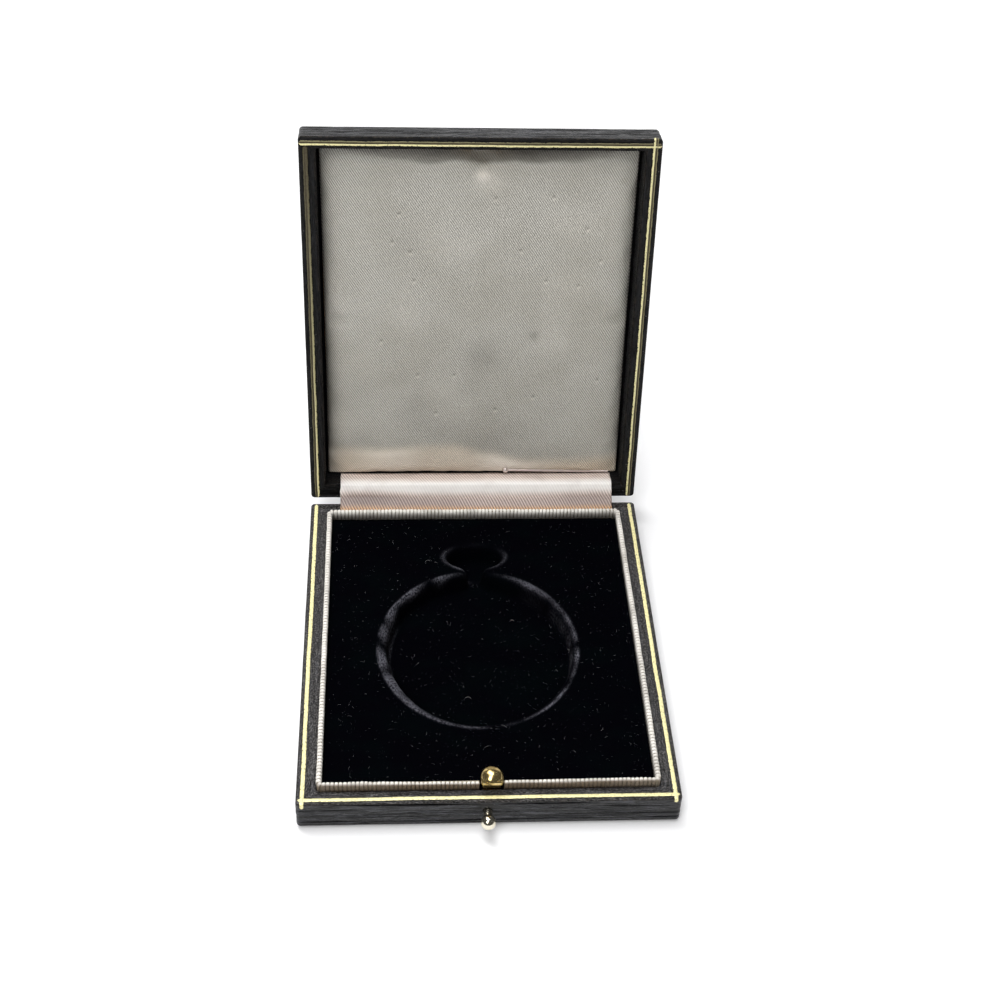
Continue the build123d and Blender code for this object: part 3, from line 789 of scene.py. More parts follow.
def makeLidLeather():
    spec = lidLeather
    counts = shellCounts(spec)
    rim, top, skin, board = box["lidRim"], box["lidTop"], box["leather"], box["lidBoard"]
    wallX, wallFront, wallBack = box["lidWall"]
    edge, rimEdge, big = spec["edge"], spec["rimEdge"], box["lidEdgeRound"]
    rows = []
    add = partial(addRow, rows)

    def wallRow(out, height):
        return (wallX + out, wallFront - out, wallBack + out, 0.0, height)

    add(insetRow(big, top - skin))
    add(insetRow(skin, top - big))
    add(insetRow(skin, rim + skin))
    add(wallRow(spec["inner"], rim + skin))
    add(wallRow(spec["inner"], board))
    add(wallRow(-spec["turnIn"], board))
    wallTop = board - spec["inner"]
    add(wallRow(-spec["turnIn"], wallTop))
    count = round((wallTop - rim - rimEdge) / spec["innerStep"])
    for step in range(count + 1):
        height = wallTop + (rim + rimEdge - wallTop) * step / count
        add(wallRow(0.0, height), spec["wallRelief"] if step else 0.0, 0.1)
    for step, rise, flat in quarterTurn(3):
        add(wallRow(rimEdge * (1 - flat), rim + rimEdge * (1 - rise)), 0.0, 0.5)
    for step in range(1, spec["rimParts"] + 1):
        row = between(wallRow(rimEdge, rim), insetRow(edge, rim), step / spec["rimParts"])
        inLine = abs(box["halfWidth"] - row[0] - spec["lines"][0]) < spec["lines"][1] + 0.15
        add(row, 0.0 if inLine else spec["rimRelief"], 0.1, spec["press"] if inLine else 0.0)
    for step, rise, flat in quarterTurn(4):
        add(insetRow(edge * (1 - rise), rim + edge * (1 - flat)), 0.02, 0.8)
    low, high = rim + edge, top - big
    count = round((high - low) / spec["wallStep"])
    for step in range(1, count + 1):
        add(insetRow(0.0, low + (high - low) * step / count), spec["sideRelief"], 0.5 * exp(-step / 2.0))
    for step, rise, flat in quarterTurn(7):
        add(insetRow(big * (1 - flat), high + big * rise), 0.05, 0.35)
    mesh = shellMesh("lidLeather", rows, counts, wrapV=False)
    with editing(mesh) as work:
        work.from_mesh(lidTopPlate(counts))
        work.verts.ensure_lookup_table()
        around = 2 * (counts[0] + counts[1]) + 4 * counts[2]
        work.faces.new([work.verts[number] for number in reversed(range(around))])
        weld(work, 2e-6)
    pushGrain(mesh, spec["seed"], spec["creases"])
    piece = cutAway(linkObject("lidLeather", mesh), [spec["keeper"]] + mortiseCutters(rim))
    piece.data.transform(openLid)
    dress(piece, finish["leather_black"])
    smoothShade(piece.data)
    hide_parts("lid_leather_cover")
    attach(piece, "lid")


makeBaseLeather()
makeLidLeather()
print("leather done")


# ---- gilt lines

giltLines = {"step": 0.5, "endInset": 0.45, "lidEndInset": 0.12, "sunk": 0.09, "ragged": 0.16,
             "web": (-0.6, 0.2, 0.95)}


def foilStrip(name, runs, shape, wobble, seed):
    # runs are (centre points, across directions, up directions, tones), where tones are how dull each edge
    # of the line is at its start and end; shape["across"] is (share of half the width, height) of the section
    face = shape["across"]
    under = [(share, -giltLines["sunk"]) for share, height in reversed(face)]
    shares, heights = np.array([*face, *under]).T[:, :, None]
    half = shape["half"]
    whole = bmesh.new()
    for number, (centres, across, ups, tones) in enumerate(runs):
        run = distances(centres)
        fromEnd = np.minimum(run, run[-1] - run)
        width = half * np.sqrt(np.clip(1 - np.clip(1 - fromEnd / half, 0, 1) ** 2, 0.0004, 1))
        lane = np.full(len(run), number * 31.0)
        shift = wobble * (noiseOn(run, lane, (0.12, 1), seed) + 0.4 * noiseOn(run, lane, (0.9, 1), seed + 1))
        ragged = 1 + giltLines["ragged"] * noiseOn(run, lane, (1.1, 1), seed + 2)
        offset = width * ragged * shares + shift
        points = centres + across * offset[:, :, None] + ups * heights[:, :, None]
        uv = np.stack(np.meshgrid(run + number * 140.0, np.append(shares, shares[0]) * half), -1)
        travel = run / run[-1]
        inner, outer = (tones[k] + (tones[k + 1] - tones[k]) * travel for k in (0, 2))
        dull = np.where(shares > 0, inner, outer)
        if shape["web"]:
            webStart, webEnd, webDull = giltLines["web"]
            dull = np.where((shares > webStart) & (shares < webEnd), webDull, dull)
        marks = {"dull": dull, "rub": np.repeat(0.3 * np.abs(shares) ** 4, len(run), 1)}
        mesh = gridMesh(name, points * mm, uv, wrapV=True, marks=marks)
        closeHoles(mesh)
        whole.from_mesh(mesh)
    mesh = bpy.data.meshes.new(name)
    whole.to_mesh(mesh)
    whole.free()
    smoothShade(mesh)
    piece = linkObject(name, mesh)
    dress(piece, finish["gilt"])
    return piece


def straightRun(start, end, across, up, tones=(0.0, 0.0, 0.0, 0.0)):
    start, end = np.array(start), np.array(end)
    count = ceil(np.linalg.norm(end - start) / giltLines["step"])
    share = np.linspace(0, 1, count + 1)[:, None]
    ways = (np.repeat([way], count + 1, 0).astype(float) for way in (across, up))
    return start * (1 - share) + end * share, *ways, tones


def overEdge(run, tip, up=1):
    # carry a run that ends at the box's front edge on over the front face
    centres, across, ups, tones = run
    bend = baseLeather["edge"]
    flatEnd = np.array((centres[-1][0], -box["halfDepth"] + bend, centres[-1][2]))
    more, moreUps = [flatEnd], [(0.0, 0.0, up)]
    for step, rise, flat in quarterTurn(4):
        more.append(flatEnd + np.array((0, -bend * rise, -up * bend * (1 - flat))))
        moreUps.append((0.0, -rise, up * flat))
    for step in range(1, 6):
        more.append(more[4] - np.array((0, 0, up * tip * step / 5)))
        moreUps.append((0.0, -1.0, 0.0))
    sameAcross = np.repeat(across[:1], len(more), 0)
    return (np.vstack((centres[:-1], more)), np.vstack((across[:-1], sameAcross)),
            np.vstack((ups[:-1], moreUps)), tones)


baseGilt = {
    "half": 0.5, "web": False, "tips": ((-1, 1.2), (1, 0.9)), "lift": 0.004, "wobble": 0.1, "seed": 21,
    "across": ((-1, -0.03), (-0.86, 0.02), (-0.4, 0.03), (0.4, 0.03), (0.86, 0.02), (1, -0.03)),
}


def makeBaseGilt():
    spec = baseGilt
    top, sideTop = box["baseTop"], box["baseTop"] + spec["lift"]
    inset = baseLeather["line"][0]
    endX, endY = box["halfWidth"] - giltLines["endInset"], box["halfDepth"] - giltLines["endInset"]
    x, y = box["halfWidth"] - inset, box["halfDepth"] - inset
    runs = [straightRun((-endX, -y, top), (endX, -y, top), (0, 1, 0), (0, 0, 1))]
    for side, tip in spec["tips"]:
        run = straightRun((side * x, endY, sideTop), (side * x, -endY, sideTop), (1, 0, 0), (0, 0, 1))
        runs.append(overEdge(run, tip))
    piece = foilStrip("baseGilt", runs, spec, spec["wobble"], spec["seed"])
    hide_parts("base_gilt_line")
    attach(piece, "base")


lidGilt = {
    "half": lidLeather["lines"][1], "web": True, "tip": 0.7, "lift": 0.004, "wobble": 0.09, "seed": 25,
    "across": ((-1, -0.03), (-0.92, 0.05), (-0.62, 0.055), (-0.5, 0.012), (0.1, 0.012), (0.22, 0.055),
               (0.9, 0.055), (1, -0.03)),
    "tones": {"front": (0.0, 0.1, 0.6, 0.7), "left": (0.0, 0.93, 0.7, 0.85), "right": (0.05, 0.1, 0.7, 0.6)},
}


def makeLidGilt():
    spec, tones = lidGilt, lidGilt["tones"]
    rim, sideRim = box["lidRim"], box["lidRim"] - spec["lift"]
    inset, half = lidLeather["lines"]
    endX, endY = box["halfWidth"] - giltLines["lidEndInset"], box["halfDepth"] - giltLines["lidEndInset"]
    x, y = box["halfWidth"] - inset, box["halfDepth"] - inset
    down = (0, 0, -1)
    front = straightRun((-endX, -y, rim), (endX, -y, rim), (0, 1, 0), down, tones["front"])
    left = straightRun((-x, endY, rim), (-x, half - y, rim), (1, 0, 0), down, tones["left"])
    right = straightRun((x, endY, sideRim), (x, -endY, sideRim), (-1, 0, 0), down, tones["right"])
    runs = [front, left, overEdge(right, spec["tip"], up=-1)]
    piece = foilStrip("lidGilt", runs, spec, spec["wobble"], spec["seed"])
    piece.data.transform(openLid)
    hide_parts("lid_gilt_lines")
    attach(piece, "lid")


makeBaseGilt()
makeLidGilt()
print("gilt done")


# ---- ribbed ribbon over the lip

ribbedLip = {
    "pitch": 1.01, "wall": 1.3, "top": 11.4, "bottom": 8.5, "corner": 1.4, "slotX": 0.5, "slotHalf": 3.0,
    "cord": 0.47, "proud": 0.21, "press": 0.05, "shoulder": 1.3, "flatness": 0.8, "sides": 6,
    "wave": 0.22, "lean": 0.3, "swell": 0.24, "worn": 0.92, "uneven": 0.14, "seed": 5,
}


def ribShape():
    # one rib of the ribbon: up the outside, over the top and down the inside, with x along the lip
    spec = ribbedLip
    proud, cord, bottom, top = spec["proud"], spec["cord"], spec["bottom"], spec["top"]
    half, height = spec["wall"] / 2 - proud + spec["press"], top - proud
    rise, sideTop = half * spec["flatness"], height - spec["shoulder"]
    line = [(-half, bottom), (-half, sideTop)]
    for step in range(5):
        angle = pi - step * pi / 4
        line.append((half * cos(angle), height - rise + rise * sin(angle)))
    line += [(half, sideTop), (half, bottom)]
    turns = (2 * pi * side / spec["sides"] for side in range(spec["sides"]))
    section = [(cord * cos(turn), proud * sin(turn)) for turn in turns]
    rows = []
    for number, (y, z) in enumerate(line):
        way = Vector(line[min(number + 1, len(line) - 1)]) - Vector(line[max(number - 1, 0)])
        along = way.normalized()
        rows.append([(x, y - along[1] * out, z + along[0] * out - top) for x, out in section])
    mesh = gridMesh("rib", np.array(rows) * mm, np.zeros((len(line), spec["sides"] + 1, 2)), wrapU=True)
    closeHoles(mesh)
    smoothShade(mesh)
    return linkObject("rib", mesh)


def lipPath():
    # open line along the lip's middle, from one side of the catch's slot round to the other
    spec = ribbedLip
    inset, corner = spec["wall"] / 2, spec["corner"] - spec["wall"] / 2
    trayX, trayFront, trayBack = box["tray"]
    x, front, back = trayX - inset, trayFront + inset, trayBack - inset
    slotEnd = spec["slotHalf"] + spec["cord"]
    points = [(spec["slotX"] + slotEnd, front)]
    for sideX, y, first in ((1, front + corner, -90), (1, back - corner, 0),
                            (-1, back - corner, 90), (-1, front + corner, 180)):
        for angle in (radians(first + 15 * step) for step in range(7)):
            points.append((sideX * (x - corner) + corner * cos(angle), y + corner * sin(angle)))
    points.append((spec["slotX"] - slotEnd, front))
    curve = bpy.data.curves.new("ribbedLip", "CURVE")
    curve.dimensions = "3D"
    spline = curve.splines.new("POLY")
    spline.points.add(len(points) - 1)
    for point, (px, py) in zip(spline.points, points):
        point.co = (px * mm, py * mm, spec["top"] * mm, 1)
    return linkObject("ribbedLip", curve)


def startTree(name, output, **inputs):
    # a geometry tree whose inputs are (kind, default), with the identifier and the wire of each
    tree = bpy.data.node_groups.new(name, "GeometryNodeTree")
    ids = {}
    for label, (kind, value) in inputs.items():
        socket = tree.interface.new_socket(label, in_out="INPUT", socket_type="NodeSocket" + kind)
        if value is not None:
            socket.default_value = value
        ids[label] = socket.identifier
    tree.interface.new_socket(output, in_out="OUTPUT", socket_type="NodeSocketGeometry")
    return tree, ids, dict(zip(inputs, wires(addNode(tree, "NodeGroupInput"), *inputs)))


def runTree(piece, tree, ids, **values):
    modifier = modify(piece, "NODES", node_group=tree)
    for label, value in values.items():
        modifier[ids[label]] = value
    return applied(piece)


def shapedCopies(tree, spots, shape, turn, lengths):
    # copies of an object's shape on these points, made longer or shorter along x, as one mesh
    info = wire(tree, "GeometryNodeObjectInfo", {"Object": shape}, "Geometry")
    scale = wire(tree, "ShaderNodeCombineXYZ", {0: lengths, 1: 1.0, 2: 1.0})
    kept = {"Points": spots, "Instance": info, "Rotation": turn, "Scale": scale}
    copies = wire(tree, "GeometryNodeInstanceOnPoints", kept)
    return wire(tree, "GeometryNodeRealizeInstances", {0: copies})


def ribTree():
    tree, ids, given = startTree(
        "ribbedRibbon", "Ribs", Path=("Geometry", None), Pitch=("Float", 0.001), Wave=("Float", 0.0002),
        Lean=("Float", 0.0002), Seed=("Int", 0), Rib=("Object", None), Ribbon=("Material", None))
    add = partial(wire, tree)
    kept = {"Curve": given["Path"], "Length": given["Pitch"]}
    spots, tangent = wires(addNode(tree, "GeometryNodeCurveToPoints", kept, mode="LENGTH"), "Points", "Tangent")
    turned = add("FunctionNodeAlignRotationToVector", {"Vector": tangent}, axis="X", pivot_axis="Z")
    width = add("FunctionNodeRandomValue", {2: 0.9, 3: 1.06, "Seed": given["Seed"]}, 1, data_type="FLOAT")
    whole = shapedCopies(tree, spots, given["Rib"], turned, width)
    # the ribs lean and wave more toward their tops
    where = add("GeometryNodeInputPosition")
    raised = add("ShaderNodeMapRange", {0: separate(where)[2], 1: 0.009, 2: 0.0115, 3: 0.0, 4: 1.0})
    slow, quick = (
        add("ShaderNodeVectorMath", {
            0: add("ShaderNodeTexNoise", {"Vector": where, "Scale": scale, "Detail": detail}, "Color"),
            1: (0.5, 0.5, 0.5)}, operation="SUBTRACT")
        for scale, detail in ((45.0, 2.0), (420.0, 0.0)))
    both = add("ShaderNodeVectorMath", {0: quick, 1: (0.35, 0.35, 0.35), 2: slow}, operation="MULTIPLY_ADD")
    reach = add("ShaderNodeCombineXYZ", {0: given["Lean"], 1: given["Lean"], 2: given["Wave"]})
    moved = add("ShaderNodeVectorMath", {0: both, 1: reach}, operation="MULTIPLY")
    faded = add("ShaderNodeVectorMath", {0: moved, "Scale": raised}, operation="SCALE")
    shaken = add("GeometryNodeSetPosition", {"Geometry": whole, "Offset": faded})
    painted = add("GeometryNodeSetMaterial", {"Geometry": shaken, "Material": given["Ribbon"]})
    addNode(tree, "NodeGroupOutput", {0: painted})
    return tree, ids


def makeRibbedLip():
    spec = ribbedLip
    rib = ribShape()
    piece = runTree(lipPath(), *ribTree(), Pitch=spec["pitch"] * mm, Wave=spec["wave"] * 2 * mm,
                    Lean=spec["lean"] * 2 * mm, Seed=spec["seed"], Rib=rib, Ribbon=finish["ribbed_ribbon"])
    bpy.data.objects.remove(rib)
    points = readPoints(piece.data) / mm
    trayX, trayFront, trayBack = box["tray"]
    centreY = (trayFront + trayBack) / 2
    out = np.maximum(np.abs(points[:, 0]) - trayX, np.abs(points[:, 1] - centreY) - (trayBack - trayFront) / 2)
    outside = smoothstep(-0.6, -0.25, out)
    front = 1 - smoothstep(-48.6, -47.4, points[:, 1])
    patch = 0.5 * noiseAt(points, (0.12, 0.12, 0.12), spec["seed"])
    low = 1 - smoothstep(10.3 + 0.95 * front, 11.0 + 0.5 * front, points[:, 2] - 0.4 * patch)
    middle = bell(points[:, 0], 34, 4)
    writeMark(piece.data, "grime", np.clip(outside * low * (0.4 + 0.6 * front) * (0.88 + 0.12 * middle), 0, 1))
    # painted shade down the lip's lower and inner faces, held back on the worn front face
    groove = 0.75 * (1 - smoothstep(9.6, 11.1, points[:, 2])) * (1 - 0.8 * outside * front)
    writeMark(piece.data, "groove", groove)
    swell = spec["swell"] * front * middle * (0.7 + noiseAt(points, (0.07, 0.01, 0.01), 4))
    swell *= smoothstep(9.2, 10.6, points[:, 2])
    # the front's outer face is worn nearly flat
    points[:, 1] += spec["worn"] * (out + 0.12) * front * smoothstep(-0.45, -0.25, out) - swell
    uneven = spec["uneven"] * noiseAt(points, (0.06, 0.06, 0.01), 6)
    points[:, 2] += uneven * smoothstep(10.2, 11.2, points[:, 2])
    writePoints(piece.data, points * mm)
    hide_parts("lip_ribbed_trim")
    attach(piece, "base")


makeRibbedLip()
print("lip done")


# ---- velvet bed

velvetBed = {
    "x": 40.3, "front": -48.3, "back": 47.1, "top": 8.42, "floor": 2.95, "step": 0.4, "thickness": 0.3,
    "round": (-0.85, -2.2, 26.2, 27.7), "oval": (-0.6, 31.4, 9.0, 5.3), "neck": (-0.7, 26.5, 3.6, 5.0),
    "slot": (-2.2, 3.2, -45.0, 1.8), "softEdge": 1.7, "bulge": 1.2, "wall": 0.8, "blend": 1.2, "hem": 0.25,
    "waves": 0.07, "ripple": 0.03, "lint": 1300, "fibre": 0.013, "hair": 0.03, "hairLift": 0.06, "seed": 8,
    "hairs": ((-3.0, -15.9, 3.2, 1.2, 1.0), (22.4, -4.9, 1.6, 0.4, 0.6), (-12.8, 29.9, 2.4, 2.4, 0.8),
              (-11.6, 29.3, 1.8, 0.3, -0.6), (1.0, -35.5, 2.6, 2.9, 0.4), (9.5, 12.0, 1.5, 1.9, 0.7)),
}


def ellipseDistance(x, y, centreX, centreY, halfX, halfY):
    share = np.hypot((x - centreX) / halfX, (y - centreY) / halfY)
    return (share - 1) * np.hypot(x - centreX, y - centreY) / np.maximum(share, 0.01)


def wellDistance(x, y):
    # signed distance to the edge of the two wells in millimetres, negative inside them
    blend = velvetBed["blend"]
    ring = ellipseDistance(x, y, *velvetBed["round"])
    oval = ellipseDistance(x, y, *velvetBed["oval"])
    neckX, neckY, halfX, halfY = velvetBed["neck"]
    neck = np.maximum(np.abs(x - neckX) - halfX, np.abs(y - neckY) - halfY)
    joined = -blend * np.log(sum(np.exp(-np.clip(part, -20, 20) / blend) for part in (ring, oval, neck)))
    return joined, ring, oval


def aroundWell(x, y, well):
    # angle round a well in degrees, 0 at the right and 90 at the hinge side
    return np.degrees(np.arctan2(y - velvetBed[well][1], x - velvetBed[well][0])) % 360


def humps(angle, *parts):
    # parts are (share, centre, reach), the last two in degrees
    return sum(share * bell((angle - centre + 180) % 360 - 180, reach) for share, centre, reach in parts)


def brushedNap(x, y, ring, oval):
    # painted highlight: grey laid on the pile round the wells' rims, where the nap catches the light
    angle = aroundWell(x, y, "round")
    broad = np.clip(humps(angle, (1, 213, 26), (0.75, 165, 30), (0.6, 118, 14)), 0, 1)
    width = 0.5 + 2.1 * broad + humps(angle, (0.6, 50, 24), (0.4, 0, 30))
    amount = 0.3 + 0.7 * broad + humps(angle, (0.45, 50, 26), (0.35, 355, 28), (0.3, 315, 16), (0.2, 250, 18),
                                       (-0.3, 285, 16))
    inward = -ring
    wallSeen = smoothstep(15, 35, angle) * (1 - smoothstep(140, 165, angle))
    width = np.minimum(width, 3.3 - 1.9 * wallSeen)
    band = smoothstep(-0.3, 0.3, inward) * (1 - smoothstep(width * 0.75, width + 0.5, inward))
    edge = 0.5 * bell(inward - 0.2, 0.35)
    second = 0.4 * bell(inward - width - 0.9, 0.3) * humps(angle, (1, 5, 34), (1, 182, 24))
    opening = bell(x - 0.6, 7.4, 4) * smoothstep(18, 22, y)
    big = np.clip(band * amount + edge * (0.35 + 0.65 * amount) + second, 0, 1) * (1 - opening)
    arcs = humps(aroundWell(x, y, "oval"), (0.75, 195, 30), (0.6, 228, 20), (0.45, 345, 26))
    small = bell(-oval - 0.45, 0.55) * np.clip(arcs + 0.03, 0, 1) * (1 - opening * (y < 26))
    return np.clip(big + small, 0, 1)


def makeVelvet():
    spec = velvetBed
    left, front, step = -spec["x"], spec["front"], spec["step"]
    xs = np.linspace(left, -left, round(-2 * left / step) + 1)
    ys = np.linspace(front, spec["back"], round((spec["back"] - front) / step) + 1)
    x, y = np.meshgrid(xs, ys)
    joined, ring, oval = wellDistance(x, y)
    joined = joined + 0.12 * noiseOn(x, y, (0.35, 0.35), 2)
    # the pile rolls over softly into the wells, most of all at the left
    bulge = np.clip(humps(aroundWell(x, y, "round"), (1, 205, 40)), 0, 1)
    soft = spec["softEdge"] + spec["bulge"] * bulge * (oval > 3)
    inward = np.clip(-joined, 0, None)
    shoulder = soft * (1 - np.sqrt(np.clip(1 - np.clip(inward / soft, 0, 1) ** 2, 0, 1))) * 0.8
    fall = smoothstep(0, spec["wall"], inward - soft * 0.92)
    z = spec["top"] - shoulder - (spec["top"] - spec["floor"] - shoulder) * fall
    slotLeft, slotRight, slotBack, slotFloor = spec["slot"]
    inSlot = (x > slotLeft) & (x < slotRight) & (y < slotBack)
    z = np.where(inSlot, slotFloor, z)
    waves = spec["waves"] * noiseOn(x, y, (0.06, 0.06), 1) + spec["ripple"] * noiseOn(x, y, (0.45, 0.45), 3)
    z = z + waves * ~inSlot
    edge = np.minimum(np.minimum(spec["x"] - np.abs(x), y - front), spec["back"] - y)
    z = z - spec["hem"] * np.exp(-edge / 0.35)
    patch = 0.62 + 1.15 * noiseOn(x, y, (0.22, 0.22), 5)
    # painted highlight round the wells' rims, kept as a mark on the velvet
    nap = np.clip(brushedNap(x, y, ring, oval) * patch, 0, 1)
    mesh = gridMesh("velvetBed", np.stack((x, y, z), -1) * mm, np.stack((x, y), -1), marks={"nap": nap})
    piece = linkObject("velvetBed", mesh)
    modify(piece, "SOLIDIFY", thickness=spec["thickness"] * mm, offset=-1.0)
    piece = applied(piece)
    dress(piece, finish["velvet_black"])
    smoothShade(piece.data)
    return piece


def threadTube(line, radius):
    # a thin three-sided tube along a line of points
    turns = [2 * pi * side / 3 for side in range(3)]
    rows = [[(x, y + radius * cos(turn), z + radius * sin(turn)) for turn in turns] for x, y, z in line]
    mesh = gridMesh("thread", np.array(rows) * mm, np.zeros((len(line), 4, 2)), wrapU=True)
    closeHoles(mesh)
    return mesh


def fibreShape():
    # one bit of lint: a thin bent thread of a few faces
    line = [(x, 0.12 * sin(3 * x) + 0.1 * x * x, 0.05 * x * x + 0.015) for x in (-0.3, -0.1, 0.1, 0.3)]
    return linkObject("fibre", threadTube(line, velvetBed["fibre"]))


def lintTree():
    tree, ids, given = startTree(
        "looseLint", "Dusted cloth", Cloth=("Geometry", None), Density=("Float", 1000.0), Seed=("Int", 0),
        Fibre=("Object", None), Lint=("Material", None))
    add = partial(wire, tree)
    cloth, seed = given["Cloth"], given["Seed"]
    faceUp = separate(add("GeometryNodeInputNormal"))[2]
    onTop = add("FunctionNodeCompare", {0: faceUp, 1: 0.8}, data_type="FLOAT", operation="GREATER_THAN")
    kept = {"Mesh": cloth, "Selection": onTop, "Density": given["Density"], "Seed": seed}
    spots = add("GeometryNodeDistributePointsOnFaces", kept, "Points", distribute_method="RANDOM")
    turn = add("FunctionNodeRandomValue", {0: (-0.5, -0.5, 0.0), 1: (0.5, 0.5, 6.28), "Seed": seed},
               data_type="FLOAT_VECTOR")
    size = add("FunctionNodeRandomValue", {2: 0.0, 3: 1.0, "Seed": seed}, 1, data_type="FLOAT")
    whole = shapedCopies(tree, spots, given["Fibre"], turn, (size ** 3.0).calc("MULTIPLY_ADD", 2.2, 0.3))
    painted = add("GeometryNodeSetMaterial", {"Geometry": whole, "Material": given["Lint"]})
    joined = addNode(tree, "GeometryNodeJoinGeometry")
    for part in (cloth, painted):
        connect(joined, {0: part})
    addNode(tree, "NodeGroupOutput", {0: Wire(joined.outputs[0])})
    return tree, ids


def hairLine(x, y, length, turn, curl):
    # a hair that curls as it lies on the velvet, in a well or beside it
    spec = velvetBed
    inWell = wellDistance(np.array(x), np.array(y))[0] < -4
    height = (spec["floor"] if inWell else spec["top"]) + spec["hairLift"]
    line = []
    for step in range(9):
        line.append((x, y, height + 0.1 * sin(pi * step / 8)))
        turn += curl * 0.45
        x += length / 8 * cos(turn)
        y += length / 8 * sin(turn)
    return line


def dustVelvet(piece):
    spec = velvetBed
    fibre, lint = fibreShape(), lintWhite()
    area = 2 * spec["x"] * (spec["back"] - spec["front"]) * mm * mm
    piece = runTree(piece, *lintTree(), Density=spec["lint"] / area, Seed=spec["seed"], Fibre=fibre, Lint=lint)
    bpy.data.objects.remove(fibre)
    lintNumber = list(piece.data.materials).index(lint)
    with editing(piece.data) as work:
        first = len(work.faces)
        for hair in spec["hairs"]:
            work.from_mesh(threadTube(hairLine(*hair), spec["hair"]))
        work.faces.ensure_lookup_table()
        for face in work.faces[first:]:
            face.material_index = lintNumber
    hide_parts("velvet_lining")
    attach(piece, "base")


dustVelvet(makeVelvet())
print("velvet done")


# ---- satin pad in the lid

satinPad = {
    "x": 41.2, "front": -49.1, "back": 48.15, "crown": 3.1, "edge": 1.1, "step": 0.8, "drawIn": 0.3, "seed": 14,
    "cap": 0.45, "wadding": 0.35, "scale": 10.0, "frames": 20, "sideways": 0.2,
    "cloth": {"quality": 6, "mass": 0.12, "tension_stiffness": 18, "compression_stiffness": 10,
              "shear_stiffness": 6, "bending_stiffness": 0.08, "use_pressure": True,
              "uniform_pressure_force": 0.25, "shrink_min": -0.012},
    "dent": (0.6, -46.4, 3.0, 1.5), "pin": ((9.2, 46.8, 13.85), (38.7, 47.6, 14.3), 0.35),
    "ripple": 0.1, "pucker": 0.14, "fold": 0.3, "holeDepth": 0.16,
    "pinholes": ((-20.8, -31.4), (-22.6, -23.6), (-18.0, -20.8), (-16.9, -12.7), (4.2, -35.7), (19.3, -36.3),
                 (28.6, -27.5), (11.2, -21.3), (18.2, -12.7), (26.9, -11.3), (-15.8, 15.4), (-5.9, 15.4),
                 (-10.8, 27.3), (-25.8, 5.1), (16.1, 22.3), (33.7, 17.0), (5.6, 26.1), (32.6, -18.5)),
    "darkPatches": ((15.6, 3.6, 1.4, 0.45), (1.4, 10.0, 5.0, 0.28), (-20.0, -23.0, 6.0, 0.12)),
}


def padHeight(x, y):
    # how far the satin stands off its card, in millimetres
    spec = satinPad
    gapX = np.clip(spec["x"] - np.abs(x), 0, None)
    gapY = np.clip(np.minimum(y - spec["front"], spec["back"] - y), 0, None)
    riseX = 0.9 * (1 - np.exp(-gapX / 2.6)) + 0.1 * gapX / spec["x"]
    riseY = 0.88 * (1 - np.exp(-gapY / 3.2)) + 0.12 * gapY / 48
    return spec["edge"] + (spec["crown"] - spec["edge"]) * riseX * riseY


def padStart():
    # closed form: the satin's face, its sides and a flat back against the card
    spec = satinPad
    middleY, halfY = (spec["front"] + spec["back"]) / 2, (spec["back"] - spec["front"]) / 2
    counts = (round(2 * half / spec["step"]) + 1 for half in (spec["x"], halfY))
    shareX, shareY = np.meshgrid(*(np.linspace(-1, 1, count) for count in counts))
    x = shareX * (spec["x"] - 0.25 - spec["drawIn"] * (1 - shareY ** 2))
    y = middleY + shareY * (halfY - 0.25 - 0.6 * spec["drawIn"] * (1 - shareX ** 2))
    face = np.stack((x, y, box["padCard"] - padHeight(x, y)), -1)[:, ::-1]
    mesh = gridMesh("satinPad", face * mm, np.stack((x, y), -1)[:, ::-1])
    with editing(mesh) as work:
        layer = work.verts.layers.float.new("back")
        edges = [edge for edge in work.edges if edge.is_boundary]
        for depth, grow in ((0.5, 0.25 * mm), (0.08, 0.1 * mm)):
            made = bmesh.ops.extrude_edge_only(work, edges=edges)["geom"]
            for vert in (item for item in made if isinstance(item, bmesh.types.BMVert)):
                outX, outY = vert.co.x / mm, vert.co.y / mm - middleY
                vert.co.x += (grow if outX > 0 else -grow) * (abs(outX) > spec["x"] - 2)
                vert.co.y += (grow if outY > 0 else -grow) * (abs(outY) > halfY - 2)
                vert.co.z = (box["padCard"] - depth) * mm
                vert[layer] = 1.0 if depth < 0.2 else 0.0
            edges = [item for item in made if isinstance(item, bmesh.types.BMEdge) and item.is_boundary]
    return linkObject("satinPad", mesh)


